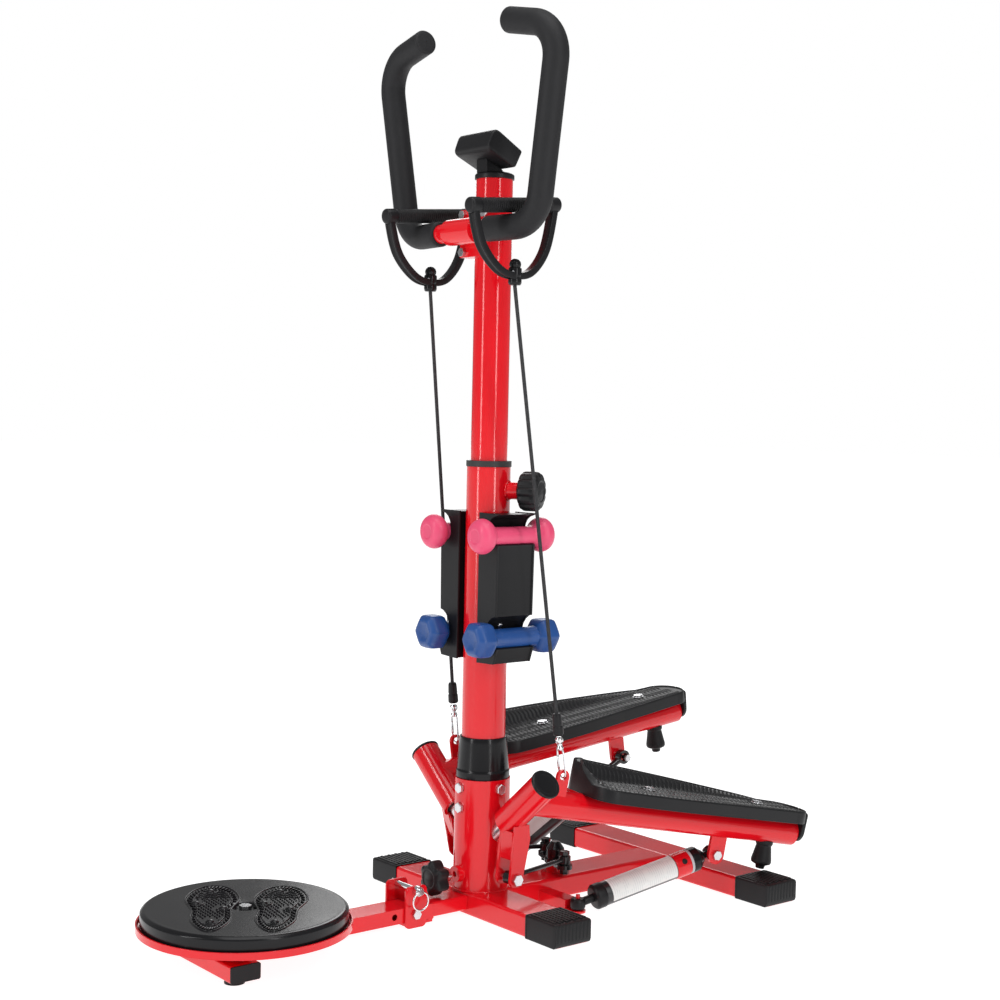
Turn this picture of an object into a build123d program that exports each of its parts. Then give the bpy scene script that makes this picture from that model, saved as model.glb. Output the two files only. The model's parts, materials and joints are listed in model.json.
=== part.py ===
"""Twist stepper with a telescopic post, two swinging pedals and a folding twist board.

Millimetres, +Z up, the floor at z = 0.  The user stands on the pedals and faces -Y.  X runs across
the machine, and the origin is the middle of the footprint.
"""
import os
from math import cos, radians, sin

from build123d import *

os.makedirs("parts", exist_ok=True)

# ---------------------------------------------------------------- driving dimensions
# Base: two cross tubes and a spine, all from the same flat tube
FRONT_Y = 23.0
REAR_Y = 388.0
POST_Y = 31.5
FRAME_W, FRAME_H, FRAME_WALL = 60.0, 30.0, 2.0
FRAME_Z = 16.0
FRONT_HALF, REAR_HALF = 205.0, 233.0
CAP_LENGTH, CAP_SKIN, CAP_END = 60.0, 1.0, 3.0
FRAME_TOP = FRAME_Z + FRAME_H / 2

# Post
SOCKET_R, SOCKET_TOP = 38.0, 184.0
LOWER_R, LOWER_WALL, LOWER_TOP = 30.0, 3.0, 610.0
UPPER_R, UPPER_WALL, UPPER_BOTTOM, UPPER_TOP = 25.0, 2.0, 380.0, 998.0
BOOT_TOP, BOOT_TOP_R, BOOT_BOTTOM_R = 240.5, 32.0, 37.0
BUSH_TOP, BUSH_BOTTOM, BUSH_FLANGE_R = 618.0, 560.0, 31.0
SLIDE_GAP = 0.1
SOCKET_BOLTS = ((-90, 172.0), (-90, 145.0), (0, 172.0), (180, 172.0))
BOLT_R, BOLT_HEAD_R, BOLT_HEAD_H = 4.0, 7.5, 5.0

# Clamping knobs
POST_KNOB_ANGLE, POST_KNOB_Z = 30.0, 578.0
POST_KNOB_R, POST_KNOB_H, POST_BOSS_R, POST_BOSS_END = 27.0, 28.0, 12.0, 45.0
SOCKET_KNOB_Z, SOCKET_KNOB_R, SOCKET_KNOB_H, SOCKET_KNOB_START = 54.0, 24.0, 22.0, 68.0

# Pedal hubs: inclined axles either side of the post
HUB_TILT = 49.7
HUB_TOP_X, HUB_TOP_Z = 134.7, 197.5
HUB_R, HUB_BORE_R, HUB_LENGTH, HUB_CAP_H = 20.0, 15.0, 100.0, 5.0
SHAFT_R = 11.0
PEDAL_LIFT = 24.0

# Pedal arm, in its own plane: x outwards, y towards the heel, z away from the floor
ARM_START_X, ARM_START_Z, ARM_HEADING, ARM_DROP = 97.0, 167.4, 12.0, 10.7
ARM_R, ARM_WALL, ARM_LENGTH = 19.0, 2.5, 441.0
TREAD_H, SKIRT_H, PEDAL_SKIN = 36.0, 18.0, 3.0
TOE_S, HEEL_S, PEDAL_HALF, HEEL_HALF = 80.0, 448.0, 58.0, 36.0
WALL_H, WALL_END_S = 24.0, 398.0
PEDAL_BOLTS = (187.0, 372.0)
BUMPER_S, BUMPER_LENGTH = 398.0, 38.5
LUG_S, LUG_DROP, LUG_W, LUG_T = 319.0, 45.0, 26.0, 5.0
EYE_OFFSET, EYE_R, EYE_W = -15.0, 10.5, 9.0

# Lever, rocker and tie rods: what one pedal loses, the other gains
LEVER_X, LEVER_Y, LEVER_Z, LEVER_GAP = 72.0, 23.0, 60.0, 24.0
ROCKER_Y, ROCKER_Z, ROCKER_T, ROCKER_REACH, ROCKER_ANGLE = 167.0, 44.0, 6.0, 38.5, 20.4
TIE_EYE_Z, TIE_R, TIE_EYE_R = 57.0, 3.25, 8.5

# Hydraulic cylinders
CYL_FOOT = (100.0, 123.0, 14.5)
CYL_R, CYL_START, CYL_END, CYL_NOSE, ROD_R, PISTON_R = 17.5, 24.0, 196.0, 12.0, 5.0, 14.0
BRACKET_W = 22.0

# Twist board
HINGE_Y, HINGE_Z = -95.0, 18.0
STUB_W, STUB_H = 40.0, 20.0
PLATE_T, PLATE_GAP, PLATE_HALF, PIN_RISE = 3.0, 0.6, 17.0, 32.0
DISC_Y, DISC_R, DISC_TOP = -341.0, 129.0, 66.0
TRAY_R, TRAY_TOP, TRAY_FLOOR, TRAY_T = 134.0, 48.0, 28.0, 2.0
FOOT_BAR_Y, FOOT_BAR_HALF, FOOT_PAD_IN = -398.0, 98.0, 24.0

# Dumbbell racks
RACK_X, RACK_BACK, RACK_HALF, RACK_BOTTOM, RACK_TOP, RACK_SKIN = 60.0, 22.0, 32.5, 346.0, 549.0, 3.0
BELL_X, SMALL_BELL_Z, LARGE_BELL_Z = 53.0, 519.0, 381.0
SMALL_BELL_Y, LARGE_BELL_Y = POST_Y - 1.0, POST_Y + 3.0
SMALL_HANDLE_R, LARGE_HANDLE_R, BELL_GAP = 12.0, 13.3, 0.6

# Handlebar and what hangs on it
BAR_Y, BAR_Z, BAR_R, FOAM_R = -19.5, 924.0, 13.0, 17.0
BAR_BEND_R = 46.0
BAR_KINK = (45.0, BAR_Y, BAR_Z)
BAR_CORNER = (139.5, -9.0, BAR_Z)
BAR_SHOULDER = (183.0, -15.5, 1169.0)
BAR_TIP = (90.7, -22.0, 1188.0)
FOAM_START_X = 49.5
CLAMP_HALF, CLAMP_BOLT_X, CLAMP_BOLT_RISE = 30.0, 23.0, 25.0
HANDLE_X, HANDLE_FRONT, HANDLE_BACK = 92.2, -74.0, 56.0
HANDLE_FRONT_Z, HANDLE_BACK_Z, HANDLE_R = 946.5, 958.5, 10.0
BOW_LOW_Y, BOW_LOW_Z, BOW_WAIST_Z = -5.0, 856.0, 896.0

# Console: the corners of its side face, as (y, z)
CONSOLE_HALF = 38.5
CONSOLE_TOP_BACK, CONSOLE_TOP_USER = (-0.5, 1061.9), (49.0, 1034.0)
CONSOLE_LOW_USER, CONSOLE_LOW_BACK = (37.0, 1010.6), (-11.9, 1031.8)
CONSOLE_SKIN = 2.5

# Elastic cords: from the handle's socket down to the eye on each pedal arm
CORD_R = 2.5
CORD_TOP = (92.2, -5.0, 849.0)
EYE_RIGHT = (117.7, 74.7, 199.2)
EYE_LEFT = (-107.2, 66.0, 211.7)
HOOK_LENGTH, SWIVEL_LENGTH, FERRULE_LENGTH = 42.0, 14.0, 30.0


# ---------------------------------------------------------------- planes and helpers
def save(part, label):
    """Label one finished sub-part and write it."""
    part.label = label
    export_step(part, f"parts/{label}.step")


def upright(x, y, z):
    """A horizontal plane at a point."""
    return Plane(origin=(x, y, z), x_dir=(1, 0, 0), z_dir=(0, 0, 1))


def radial(angle, start, z):
    """A plane that looks outwards from the post's axis, a given distance from it."""
    out = Vector(cos(radians(angle)), sin(radians(angle)), 0)
    return Plane(origin=Vector(0, POST_Y, z) + out * start, x_dir=(0, 0, 1), z_dir=out)


HUB_DIR = Vector(sin(radians(HUB_TILT)), 0, cos(radians(HUB_TILT)))
HUB_TOP = Vector(HUB_TOP_X, POST_Y, HUB_TOP_Z)


def hub_plane(back):
    """A plane across the right-hand hub's axle, a given distance below the cap's face."""
    return Plane(origin=HUB_TOP - HUB_DIR * back, x_dir=(0, 1, 0), z_dir=HUB_DIR)


ARM_OUT = Vector(cos(radians(ARM_HEADING)), -sin(radians(ARM_HEADING)), 0)
ARM_DIR = Vector(sin(radians(ARM_HEADING)) * cos(radians(ARM_DROP)),
                 cos(radians(ARM_HEADING)) * cos(radians(ARM_DROP)), -sin(radians(ARM_DROP)))
ARM_UP = ARM_OUT.cross(ARM_DIR)
ARM_START = Vector(ARM_START_X, POST_Y, ARM_START_Z)
ARM_PLANE = Plane(origin=ARM_START, x_dir=ARM_OUT, z_dir=ARM_UP)


def arm_point(out, along, up):
    """A point given in the pedal arm's own plane."""
    return ARM_START + ARM_OUT * out + ARM_DIR * along + ARM_UP * up


def side_plane(out):
    """A plane across the arm that looks outwards: x towards the heel, y up."""
    return Plane(origin=arm_point(out, 0, 0), x_dir=ARM_DIR, z_dir=ARM_OUT)


def place_side(part, side):
    """Right-hand parts stay at their lowest; left-hand ones are mirrored and lifted."""
    if side == "right":
        return part
    axle = Axis((-HUB_TOP_X, POST_Y, HUB_TOP_Z), (-HUB_DIR.X, 0, HUB_DIR.Z))
    return part.mirror(Plane.YZ).rotate(axle, -PEDAL_LIFT)


def raised(point):
    """Where a point of the right-hand arm goes when that arm is fully lifted."""
    arm = Vector(point) - HUB_TOP
    turn = radians(PEDAL_LIFT)
    along = HUB_DIR * (HUB_DIR.dot(arm) * (1 - cos(turn)))
    return HUB_TOP + arm * cos(turn) + HUB_DIR.cross(arm) * sin(turn) + along


def mirrored(point):
    """The same point on the machine's other side."""
    return Vector(-point.X, point.Y, point.Z)


# ---------------------------------------------------------------- base frame
def frame_tube(plane, length):
    """A length of the flat frame tube, its wide faces up and down."""
    with BuildPart() as tube:
        with BuildSketch(plane):
            RectangleRounded(FRAME_W, FRAME_H, 4)
            RectangleRounded(FRAME_W - 2 * FRAME_WALL, FRAME_H - 2 * FRAME_WALL, 2, mode=Mode.SUBTRACT)
        extrude(amount=length)
    return tube.part


def cross_plane(y, half):
    """Where a cross tube starts, at its -X end."""
    return Plane(origin=(-half + CAP_END, y, FRAME_Z), x_dir=(0, 1, 0), z_dir=(1, 0, 0))


save(frame_tube(cross_plane(FRONT_Y, FRONT_HALF), 2 * (FRONT_HALF - CAP_END)), "front_cross_tube")
save(frame_tube(cross_plane(REAR_Y, REAR_HALF), 2 * (REAR_HALF - CAP_END)), "rear_cross_tube")

spine_start = FRONT_Y + FRAME_W / 2
spine_length = REAR_Y - FRONT_Y - FRAME_W
with BuildPart() as spine_tube:
    add(frame_tube(Plane(origin=(0, spine_start, FRAME_Z), x_dir=(-1, 0, 0), z_dir=(0, 1, 0)), spine_length))
    # spacer and pin that the rocker turns on
    with BuildSketch(upright(0, ROCKER_Y, FRAME_TOP)):
        Circle(13)
    extrude(amount=ROCKER_Z - FRAME_TOP - 0.5)
    with BuildSketch(upright(0, ROCKER_Y, FRAME_TOP)):
        Circle(6)
    extrude(amount=32)
    # a bracket either side carries the foot of each cylinder
    for way in (1, -1):
        reach = CYL_FOOT[0] - 14
        with BuildSketch(upright(way * (FRAME_W / 2 + reach) / 2, CYL_FOOT[1], 3)):
            Rectangle(reach - FRAME_W / 2, BRACKET_W)
        extrude(amount=15)
        with BuildSketch(upright(way * CYL_FOOT[0], CYL_FOOT[1], 3)):
            Circle(BRACKET_W / 2)
            with Locations((-way * 12, 0)):
                Rectangle(24, BRACKET_W)
        extrude(amount=3)
        with BuildSketch(upright(way * CYL_FOOT[0], CYL_FOOT[1], 3)):
            Circle(3)
        extrude(amount=24)
save(spine_tube.part, "spine_tube")


def end_cap(way, y, half):
    """A rubber cap: it grips the tube's end and is what stands on the floor."""
    outer_h = FRAME_H + 2 * CAP_SKIN
    with BuildPart() as cap:
        with Locations((way * (half - CAP_LENGTH / 2), y, FRAME_Z)):
            Box(CAP_LENGTH, FRAME_W + 2 * CAP_SKIN, outer_h)
        end_edges = cap.edges().filter_by(Axis.Y).sort_by(Axis.X)
        lowest = (end_edges[-2:] if way > 0 else end_edges[:2]).sort_by(Axis.Z)[0]
        chamfer(lowest, 7)
        with BuildSketch(Plane(origin=(way * (half - CAP_LENGTH), y, FRAME_Z), x_dir=(0, 1, 0),
                               z_dir=(way, 0, 0))):
            RectangleRounded(FRAME_W, FRAME_H, 4)
        extrude(amount=CAP_LENGTH - CAP_END, mode=Mode.SUBTRACT)
    return cap.part


caps = [end_cap(way, y, half) for y, half in ((FRONT_Y, FRONT_HALF), (REAR_Y, REAR_HALF)) for way in (1, -1)]
save(Compound(children=caps), "end_caps")

# ---------------------------------------------------------------- post socket, axles and lower post
gusset_low, gusset_high = HUB_TOP - HUB_DIR * 132, HUB_TOP - HUB_DIR * 107
shaft_low = HUB_TOP - HUB_DIR * 136
with BuildPart() as post_socket:
    with BuildSketch(upright(0, POST_Y, FRAME_TOP)):
        Circle(SOCKET_R)
    extrude(amount=SOCKET_TOP - FRAME_TOP)
    # triangular webs under the two axles
    for way in (1, -1):
        with BuildSketch(Plane(origin=(0, POST_Y, 0), x_dir=(1, 0, 0), z_dir=(0, -1, 0))):
            with BuildLine():
                Polyline((way * (SOCKET_R - 3), 58), (way * (SOCKET_R - 3), gusset_low.Z + 4),
                         (way * gusset_high.X, gusset_high.Z), (way * (gusset_high.X + 2), gusset_high.Z - 14),
                         close=True)
            make_face()
        extrude(amount=2.5, both=True)
    with BuildSketch(upright(0, POST_Y, FRAME_TOP)):
        Circle(LOWER_R + 0.5)
    extrude(amount=SOCKET_TOP - FRAME_TOP, mode=Mode.SUBTRACT)
    # boss that the clamping knob screws into
    with BuildSketch(radial(-90, LOWER_R + 1.5, SOCKET_KNOB_Z)):
        Circle(11)
    extrude(amount=SOCKET_R - LOWER_R + 6)
    with BuildSketch(radial(-90, 0, SOCKET_KNOB_Z)):
        Circle(BOLT_R + 0.1)
    extrude(amount=SOCKET_R + 20, mode=Mode.SUBTRACT)
    for angle, height in SOCKET_BOLTS:
        with BuildSketch(radial(angle, 20, height)):
            Circle(BOLT_R)
        extrude(amount=30, mode=Mode.SUBTRACT)
    # the axles are welded through round seats in the webs
    for way in (1, -1):
        axle_start = Vector(way * shaft_low.X, POST_Y, shaft_low.Z)
        with BuildSketch(Plane(origin=axle_start, x_dir=(0, 1, 0), z_dir=(way * HUB_DIR.X, 0, HUB_DIR.Z))):
            Circle(SHAFT_R)
        extrude(amount=60, mode=Mode.SUBTRACT)

hub_shafts = []
for way in (1, -1):
    shaft_start = Vector(way * shaft_low.X, POST_Y, shaft_low.Z)
    with BuildPart() as hub_shaft:
        with BuildSketch(Plane(origin=shaft_start, x_dir=(0, 1, 0), z_dir=(way * HUB_DIR.X, 0, HUB_DIR.Z))):
            Circle(SHAFT_R)
        extrude(amount=124)
        with BuildSketch(upright(0, POST_Y, FRAME_TOP)):
            Circle(SOCKET_R)
        extrude(amount=SOCKET_TOP, mode=Mode.SUBTRACT)
    hub_shafts.append(hub_shaft.part)
save(Compound(children=hub_shafts), "hub_shafts")
save(post_socket.part, "post_socket")

# nylon bushes pressed on the axles; the hubs turn on them
hub_bushes = []
for way in (1, -1):
    for back in (101.0, 30.0):
        bush_start = Vector(way * (HUB_TOP.X - HUB_DIR.X * back), POST_Y, HUB_TOP.Z - HUB_DIR.Z * back)
        with BuildPart() as hub_bush:
            with BuildSketch(Plane(origin=bush_start, x_dir=(0, 1, 0),
                                   z_dir=(way * HUB_DIR.X, 0, HUB_DIR.Z))):
                Circle(HUB_BORE_R - 0.06)
                Circle(SHAFT_R, mode=Mode.SUBTRACT)
            extrude(amount=16)
        hub_bushes.append(hub_bush.part)
save(Compound(children=hub_bushes), "hub_bushes")

with BuildPart() as lower_post:
    with BuildSketch(upright(0, POST_Y, FRAME_TOP + 2)):
        Circle(LOWER_R)
    extrude(amount=LOWER_TOP - FRAME_TOP - 2)
    with BuildSketch(radial(POST_KNOB_ANGLE, LOWER_R - 2, POST_KNOB_Z)):
        Circle(POST_BOSS_R)
    extrude(amount=POST_BOSS_END - LOWER_R + 2)
    with BuildSketch(upright(0, POST_Y, FRAME_TOP + 2)):
        Circle(LOWER_R - LOWER_WALL)
    extrude(amount=LOWER_TOP, mode=Mode.SUBTRACT)
    with BuildSketch(radial(POST_KNOB_ANGLE, 10, POST_KNOB_Z)):
        Circle(BOLT_R + 0.1)
    extrude(amount=POST_BOSS_END, mode=Mode.SUBTRACT)
    for angle, height in SOCKET_BOLTS:
        with BuildSketch(radial(angle, 20, height)):
            Circle(BOLT_R)
        extrude(amount=30, mode=Mode.SUBTRACT)
save(lower_post.part, "lower_post")

with BuildPart() as post_boot:
    with BuildSketch(upright(0, POST_Y, SOCKET_TOP)):
        Circle(BOOT_BOTTOM_R)
    with BuildSketch(upright(0, POST_Y, BOOT_TOP)):
        Circle(BOOT_TOP_R)
    loft()
    with BuildSketch(upright(0, POST_Y, SOCKET_TOP)):
        Circle(LOWER_R)
    extrude(amount=BOOT_TOP, mode=Mode.SUBTRACT)
save(post_boot.part, "post_boot")

with BuildPart() as post_bushing:
    with BuildSketch(upright(0, POST_Y, BUSH_BOTTOM)):
        Circle(LOWER_R - LOWER_WALL)
    extrude(amount=LOWER_TOP - BUSH_BOTTOM)
    with BuildSketch(upright(0, POST_Y, LOWER_TOP)):
        Circle(BUSH_FLANGE_R)
    extrude(amount=BUSH_TOP - LOWER_TOP)
    with BuildSketch(upright(0, POST_Y, BUSH_BOTTOM)):
        Circle(UPPER_R + SLIDE_GAP)
    extrude(amount=BUSH_TOP, mode=Mode.SUBTRACT)
    with BuildSketch(radial(POST_KNOB_ANGLE, 10, POST_KNOB_Z)):
        Circle(BOLT_R + 0.1)
    extrude(amount=POST_BOSS_END, mode=Mode.SUBTRACT)
save(post_bushing.part, "post_bushing")


# ---------------------------------------------------------------- fasteners of the frame
def hex_bolt(plane, shank, shank_r=BOLT_R, head_r=BOLT_HEAD_R, head_h=BOLT_HEAD_H):
    """A hexagon bolt whose head sits on the plane and whose shank runs back from it."""
    with BuildPart() as bolt:
        with BuildSketch(plane):
            RegularPolygon(head_r, 6)
        extrude(amount=head_h)
        chamfer(bolt.faces().sort_by(Axis(plane.origin, plane.z_dir))[-1].edges(), 0.8)
        with BuildSketch(plane):
            Circle(shank_r)
        extrude(amount=-shank)
    return bolt.part


frame_bolts = [hex_bolt(radial(angle, SOCKET_R, height), 14) for angle, height in SOCKET_BOLTS]
# hinge bolt of the twist board, with its nut
hinge_half = STUB_W / 2 + PLATE_GAP + PLATE_T
with BuildPart() as hinge_bolt:
    with BuildSketch(Plane(origin=(-hinge_half - 5, HINGE_Y, HINGE_Z), x_dir=(0, 1, 0), z_dir=(1, 0, 0))):
        RegularPolygon(6.5, 6)
    extrude(amount=5)
    with BuildSketch(Plane(origin=(-hinge_half, HINGE_Y, HINGE_Z), x_dir=(0, 1, 0), z_dir=(1, 0, 0))):
        Circle(BOLT_R)
    extrude(amount=2 * hinge_half)
    with BuildSketch(Plane(origin=(hinge_half, HINGE_Y, HINGE_Z), x_dir=(0, 1, 0), z_dir=(1, 0, 0))):
        RegularPolygon(6.5, 6)
    extrude(amount=4)
frame_bolts.append(hinge_bolt.part)
save(Compound(children=frame_bolts), "frame_bolts")


# ---------------------------------------------------------------- clamping knobs
def knob(plane, radius, height, lobes, lobe_r, shank):
    """A grip knob with hollows round its rim, and a threaded shank that runs back from it."""
    with BuildPart() as grip:
        with BuildSketch(plane):
            Circle(radius)
            with PolarLocations(radius + lobe_r * 0.45, lobes):
                Circle(lobe_r, mode=Mode.SUBTRACT)
        extrude(amount=height)
        with BuildSketch(plane):
            Circle(radius * 0.42)
        extrude(amount=-3)
        with BuildSketch(plane):
            Circle(BOLT_R)
        extrude(amount=-shank)
    return grip.part


post_knob_start = POST_BOSS_END + 4
save(knob(radial(POST_KNOB_ANGLE, post_knob_start, POST_KNOB_Z), POST_KNOB_R, POST_KNOB_H, 12, 4.0,
          post_knob_start - UPPER_R - 0.3), "post_knob")
save(knob(radial(-90, SOCKET_KNOB_START, SOCKET_KNOB_Z), SOCKET_KNOB_R, SOCKET_KNOB_H, 6, 7.0,
          SOCKET_KNOB_START - LOWER_R - 0.5), "socket_knob")

# ---------------------------------------------------------------- telescopic upper post
with BuildPart() as upper_post:
    with BuildSketch(upright(0, POST_Y, UPPER_BOTTOM)):
        Circle(UPPER_R)
        Circle(UPPER_R - UPPER_WALL, mode=Mode.SUBTRACT)
    extrude(amount=UPPER_TOP - UPPER_BOTTOM)
save(upper_post.part, "upper_post")


def bar_path(points, radii):
    """The centre line of a bent tube."""
    with BuildLine() as path:
        FilletPolyline(*points, radius=radii)
    return path.line


def sweep_round(path, radius, bore=0.0):
    """A round bar or tube swept along a path."""
    with BuildPart() as tube:
        with BuildSketch(Plane(origin=path @ 0, z_dir=path % 0)):
            Circle(radius)
            if bore:
                Circle(bore, mode=Mode.SUBTRACT)
        sweep(path=path)
    return tube.part


def flip(point):
    """The same point on the bar's other half."""
    return (-point[0], point[1], point[2])


bar_half = [BAR_KINK, BAR_CORNER, BAR_SHOULDER, BAR_TIP]
bar_points = [flip(p) for p in reversed(bar_half)] + bar_half
bar_radii = [BAR_BEND_R, BAR_BEND_R, BAR_BEND_R, BAR_BEND_R, BAR_BEND_R, BAR_BEND_R]
save(sweep_round(bar_path(bar_points, bar_radii), BAR_R, BAR_R - 2), "handlebar")

kink_slope = (BAR_CORNER[1] - BAR_KINK[1]) / (BAR_CORNER[0] - BAR_KINK[0])
foam_start = (FOAM_START_X, BAR_KINK[1] + (FOAM_START_X - BAR_KINK[0]) * kink_slope, BAR_Z)
foam = sweep_round(bar_path([foam_start] + bar_half[1:], [BAR_BEND_R, BAR_BEND_R]), FOAM_R, BAR_R)
save(Compound(children=[foam, foam.mirror(Plane.YZ)]), "foam_grips")

# two-part clamp: a saddle welded to the post and a shell round the bar
clamp_split = POST_Y - UPPER_R - 3.7
CLAMP_PLATE_T = 5.0
with BuildPart() as clamp_shell:
    with BuildSketch(Plane(origin=(-CLAMP_HALF, BAR_Y, BAR_Z), x_dir=(0, 1, 0), z_dir=(1, 0, 0))):
        Circle(BAR_R + 4.5)
        with Locations(((clamp_split - BAR_Y) / 2, 0)):
            Rectangle(clamp_split - BAR_Y, 2 * (BAR_R + 1.5))
        with Locations((clamp_split - BAR_Y - CLAMP_PLATE_T / 2, 0)):
            Rectangle(CLAMP_PLATE_T, 2 * CLAMP_BOLT_RISE + 14)
        Circle(BAR_R, mode=Mode.SUBTRACT)
    extrude(amount=2 * CLAMP_HALF)
    with BuildSketch(upright(0, POST_Y, BAR_Z - 60)):
        Circle(UPPER_R)
    extrude(amount=120, mode=Mode.SUBTRACT)
with BuildPart() as clamp_saddle:
    with BuildSketch(Plane(origin=(-CLAMP_HALF, clamp_split, BAR_Z), x_dir=(0, 1, 0), z_dir=(1, 0, 0))):
        with Locations((7, 0)):
            Rectangle(14, 2 * CLAMP_BOLT_RISE + 14)
    extrude(amount=2 * CLAMP_HALF)
    with BuildSketch(upright(0, POST_Y, BAR_Z - 60)):
        Circle(UPPER_R)
    extrude(amount=120, mode=Mode.SUBTRACT)
save(Compound(children=[clamp_shell.part, clamp_saddle.part]), "handlebar_clamp")

clamp_bolts = []
for x in (-CLAMP_BOLT_X, CLAMP_BOLT_X):
    for rise in (-CLAMP_BOLT_RISE, CLAMP_BOLT_RISE):
        seat = Plane(origin=(x, clamp_split - CLAMP_PLATE_T, BAR_Z + rise), x_dir=(1, 0, 0), z_dir=(0, -1, 0))
        with BuildPart() as clamp_screw:
            with BuildSketch(seat):
                RegularPolygon(6.5, 6)
            extrude(amount=4.5)
        clamp_bolts.append(clamp_screw.part)
save(Compound(children=clamp_bolts), "clamp_bolts")


# ---------------------------------------------------------------- pull handles hooked over the bar
def pull_handle(way):
    """A stirrup: a round grip over the handlebar and a bow that runs down to the cord's socket."""
    front = (way * HANDLE_X, HANDLE_FRONT, HANDLE_FRONT_Z)
    back = (way * HANDLE_X, HANDLE_BACK, HANDLE_BACK_Z)
    grip_length = (Vector(back) - Vector(front)).length
    with BuildPart() as handle:
        with BuildSketch(Plane(origin=front, z_dir=Vector(back) - Vector(front))):
            Circle(HANDLE_R)
        extrude(amount=grip_length)
        # the bow is a flat strip bent round the outside of the hand
        with BuildSketch(Plane(origin=(way * HANDLE_X - 7, 0, 0), x_dir=(0, 1, 0), z_dir=(1, 0, 0))):
            with BuildLine():
                outer = Spline((HANDLE_FRONT - 5, HANDLE_FRONT_Z + 4), (HANDLE_FRONT + 12, BOW_WAIST_Z),
                               (BOW_LOW_Y, BOW_LOW_Z), tangents=((0, -1), (1, -0.05)))
                outer_back = Spline((BOW_LOW_Y, BOW_LOW_Z), (HANDLE_BACK - 10, BOW_WAIST_Z),
                                    (HANDLE_BACK + 5, HANDLE_BACK_Z + 4), tangents=((1, 0.05), (0, 1)))
                Line(outer_back @ 1, (HANDLE_BACK - 4, HANDLE_BACK_Z + 4))
                inner_back = Spline((HANDLE_BACK - 4, HANDLE_BACK_Z + 4), (HANDLE_BACK - 18, BOW_WAIST_Z + 5),
                                    (BOW_LOW_Y, BOW_LOW_Z + 10), tangents=((0, -1), (-1, -0.05)))
                inner = Spline((BOW_LOW_Y, BOW_LOW_Z + 10), (HANDLE_FRONT + 20, BOW_WAIST_Z + 5),
                               (HANDLE_FRONT + 4, HANDLE_FRONT_Z + 4), tangents=((-1, 0.05), (0, 1)))
                Line(inner @ 1, outer @ 0)
            make_face()
        extrude(amount=14)
        # socket block at the bottom of the bow, with the ball that stops the cord
        with BuildSketch(upright(way * HANDLE_X, CORD_TOP[1], CORD_TOP[2])):
            Circle(8.5)
        extrude(amount=24)
        with Locations((way * HANDLE_X, CORD_TOP[1], CORD_TOP[2] + 26)):
            Sphere(8)
    return handle.part


save(Compound(children=[pull_handle(1), pull_handle(-1)]), "pull_handles")

# ---------------------------------------------------------------- console
console_corners = [CONSOLE_TOP_BACK, CONSOLE_TOP_USER, CONSOLE_LOW_USER, CONSOLE_LOW_BACK]
face_run = Vector(0, CONSOLE_TOP_USER[0] - CONSOLE_TOP_BACK[0], CONSOLE_TOP_USER[1] - CONSOLE_TOP_BACK[1])
FACE_UP = Vector(1, 0, 0).cross(face_run.normalized())
face_centre = Vector(0, (CONSOLE_TOP_BACK[0] + CONSOLE_TOP_USER[0]) / 2,
                     (CONSOLE_TOP_BACK[1] + CONSOLE_TOP_USER[1]) / 2)
# on the face: x across the machine, y down towards the user, z out of the face
FACE_PLANE = Plane(origin=face_centre, x_dir=(1, 0, 0), z_dir=FACE_UP)
FACE_LENGTH, FACE_WIDTH = face_run.length, 2 * CONSOLE_HALF
BUTTON_DOWN, BUTTON_R, LID_T = 14.0, 5.0, 2.0


def face_level(depth):
    """A plane a given depth below the console's face."""
    return Plane(origin=face_centre - FACE_UP * depth, x_dir=(1, 0, 0), z_dir=FACE_UP)


with BuildPart() as console_housing:
    with BuildSketch(Plane(origin=(-CONSOLE_HALF, 0, 0), x_dir=(0, 1, 0), z_dir=(1, 0, 0))):
        with BuildLine():
            Polyline(*console_corners, close=True)
        make_face()
    extrude(amount=2 * CONSOLE_HALF)
    with BuildSketch(face_level(0)):
        RectangleRounded(FACE_WIDTH - 2 * CONSOLE_SKIN, FACE_LENGTH - 2 * CONSOLE_SKIN, 3)
    extrude(amount=-18, mode=Mode.SUBTRACT)
save(console_housing.part, "console_housing")

with BuildPart() as console_face:
    with BuildSketch(face_level(LID_T)):
        RectangleRounded(FACE_WIDTH - 2 * CONSOLE_SKIN, FACE_LENGTH - 2 * CONSOLE_SKIN, 3)
        with Locations((0, -BUTTON_DOWN)):
            Circle(BUTTON_R + 0.3, mode=Mode.SUBTRACT)
    extrude(amount=LID_T)
save(console_face.part, "console_face")

with BuildPart() as console_button:
    with BuildSketch(face_level(LID_T + 1.2)):
        with Locations((0, -BUTTON_DOWN)):
            Circle(BUTTON_R)
    extrude(amount=LID_T + 1.2 + 2.2)
save(console_button.part, "console_button")

with BuildPart() as console_board:
    with BuildSketch(face_level(14)):
        with Locations((0, -1)):
            Rectangle(50, 36)
    extrude(amount=1.6)
    with BuildSketch(face_level(12.4)):
        with Locations((0, 6)):
            Rectangle(42, 20)
    extrude(amount=10)
    with BuildSketch(face_level(12.4)):
        with Locations((0, -BUTTON_DOWN)):
            Rectangle(7, 7)
    extrude(amount=7)
save(console_board.part, "console_board")

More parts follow.
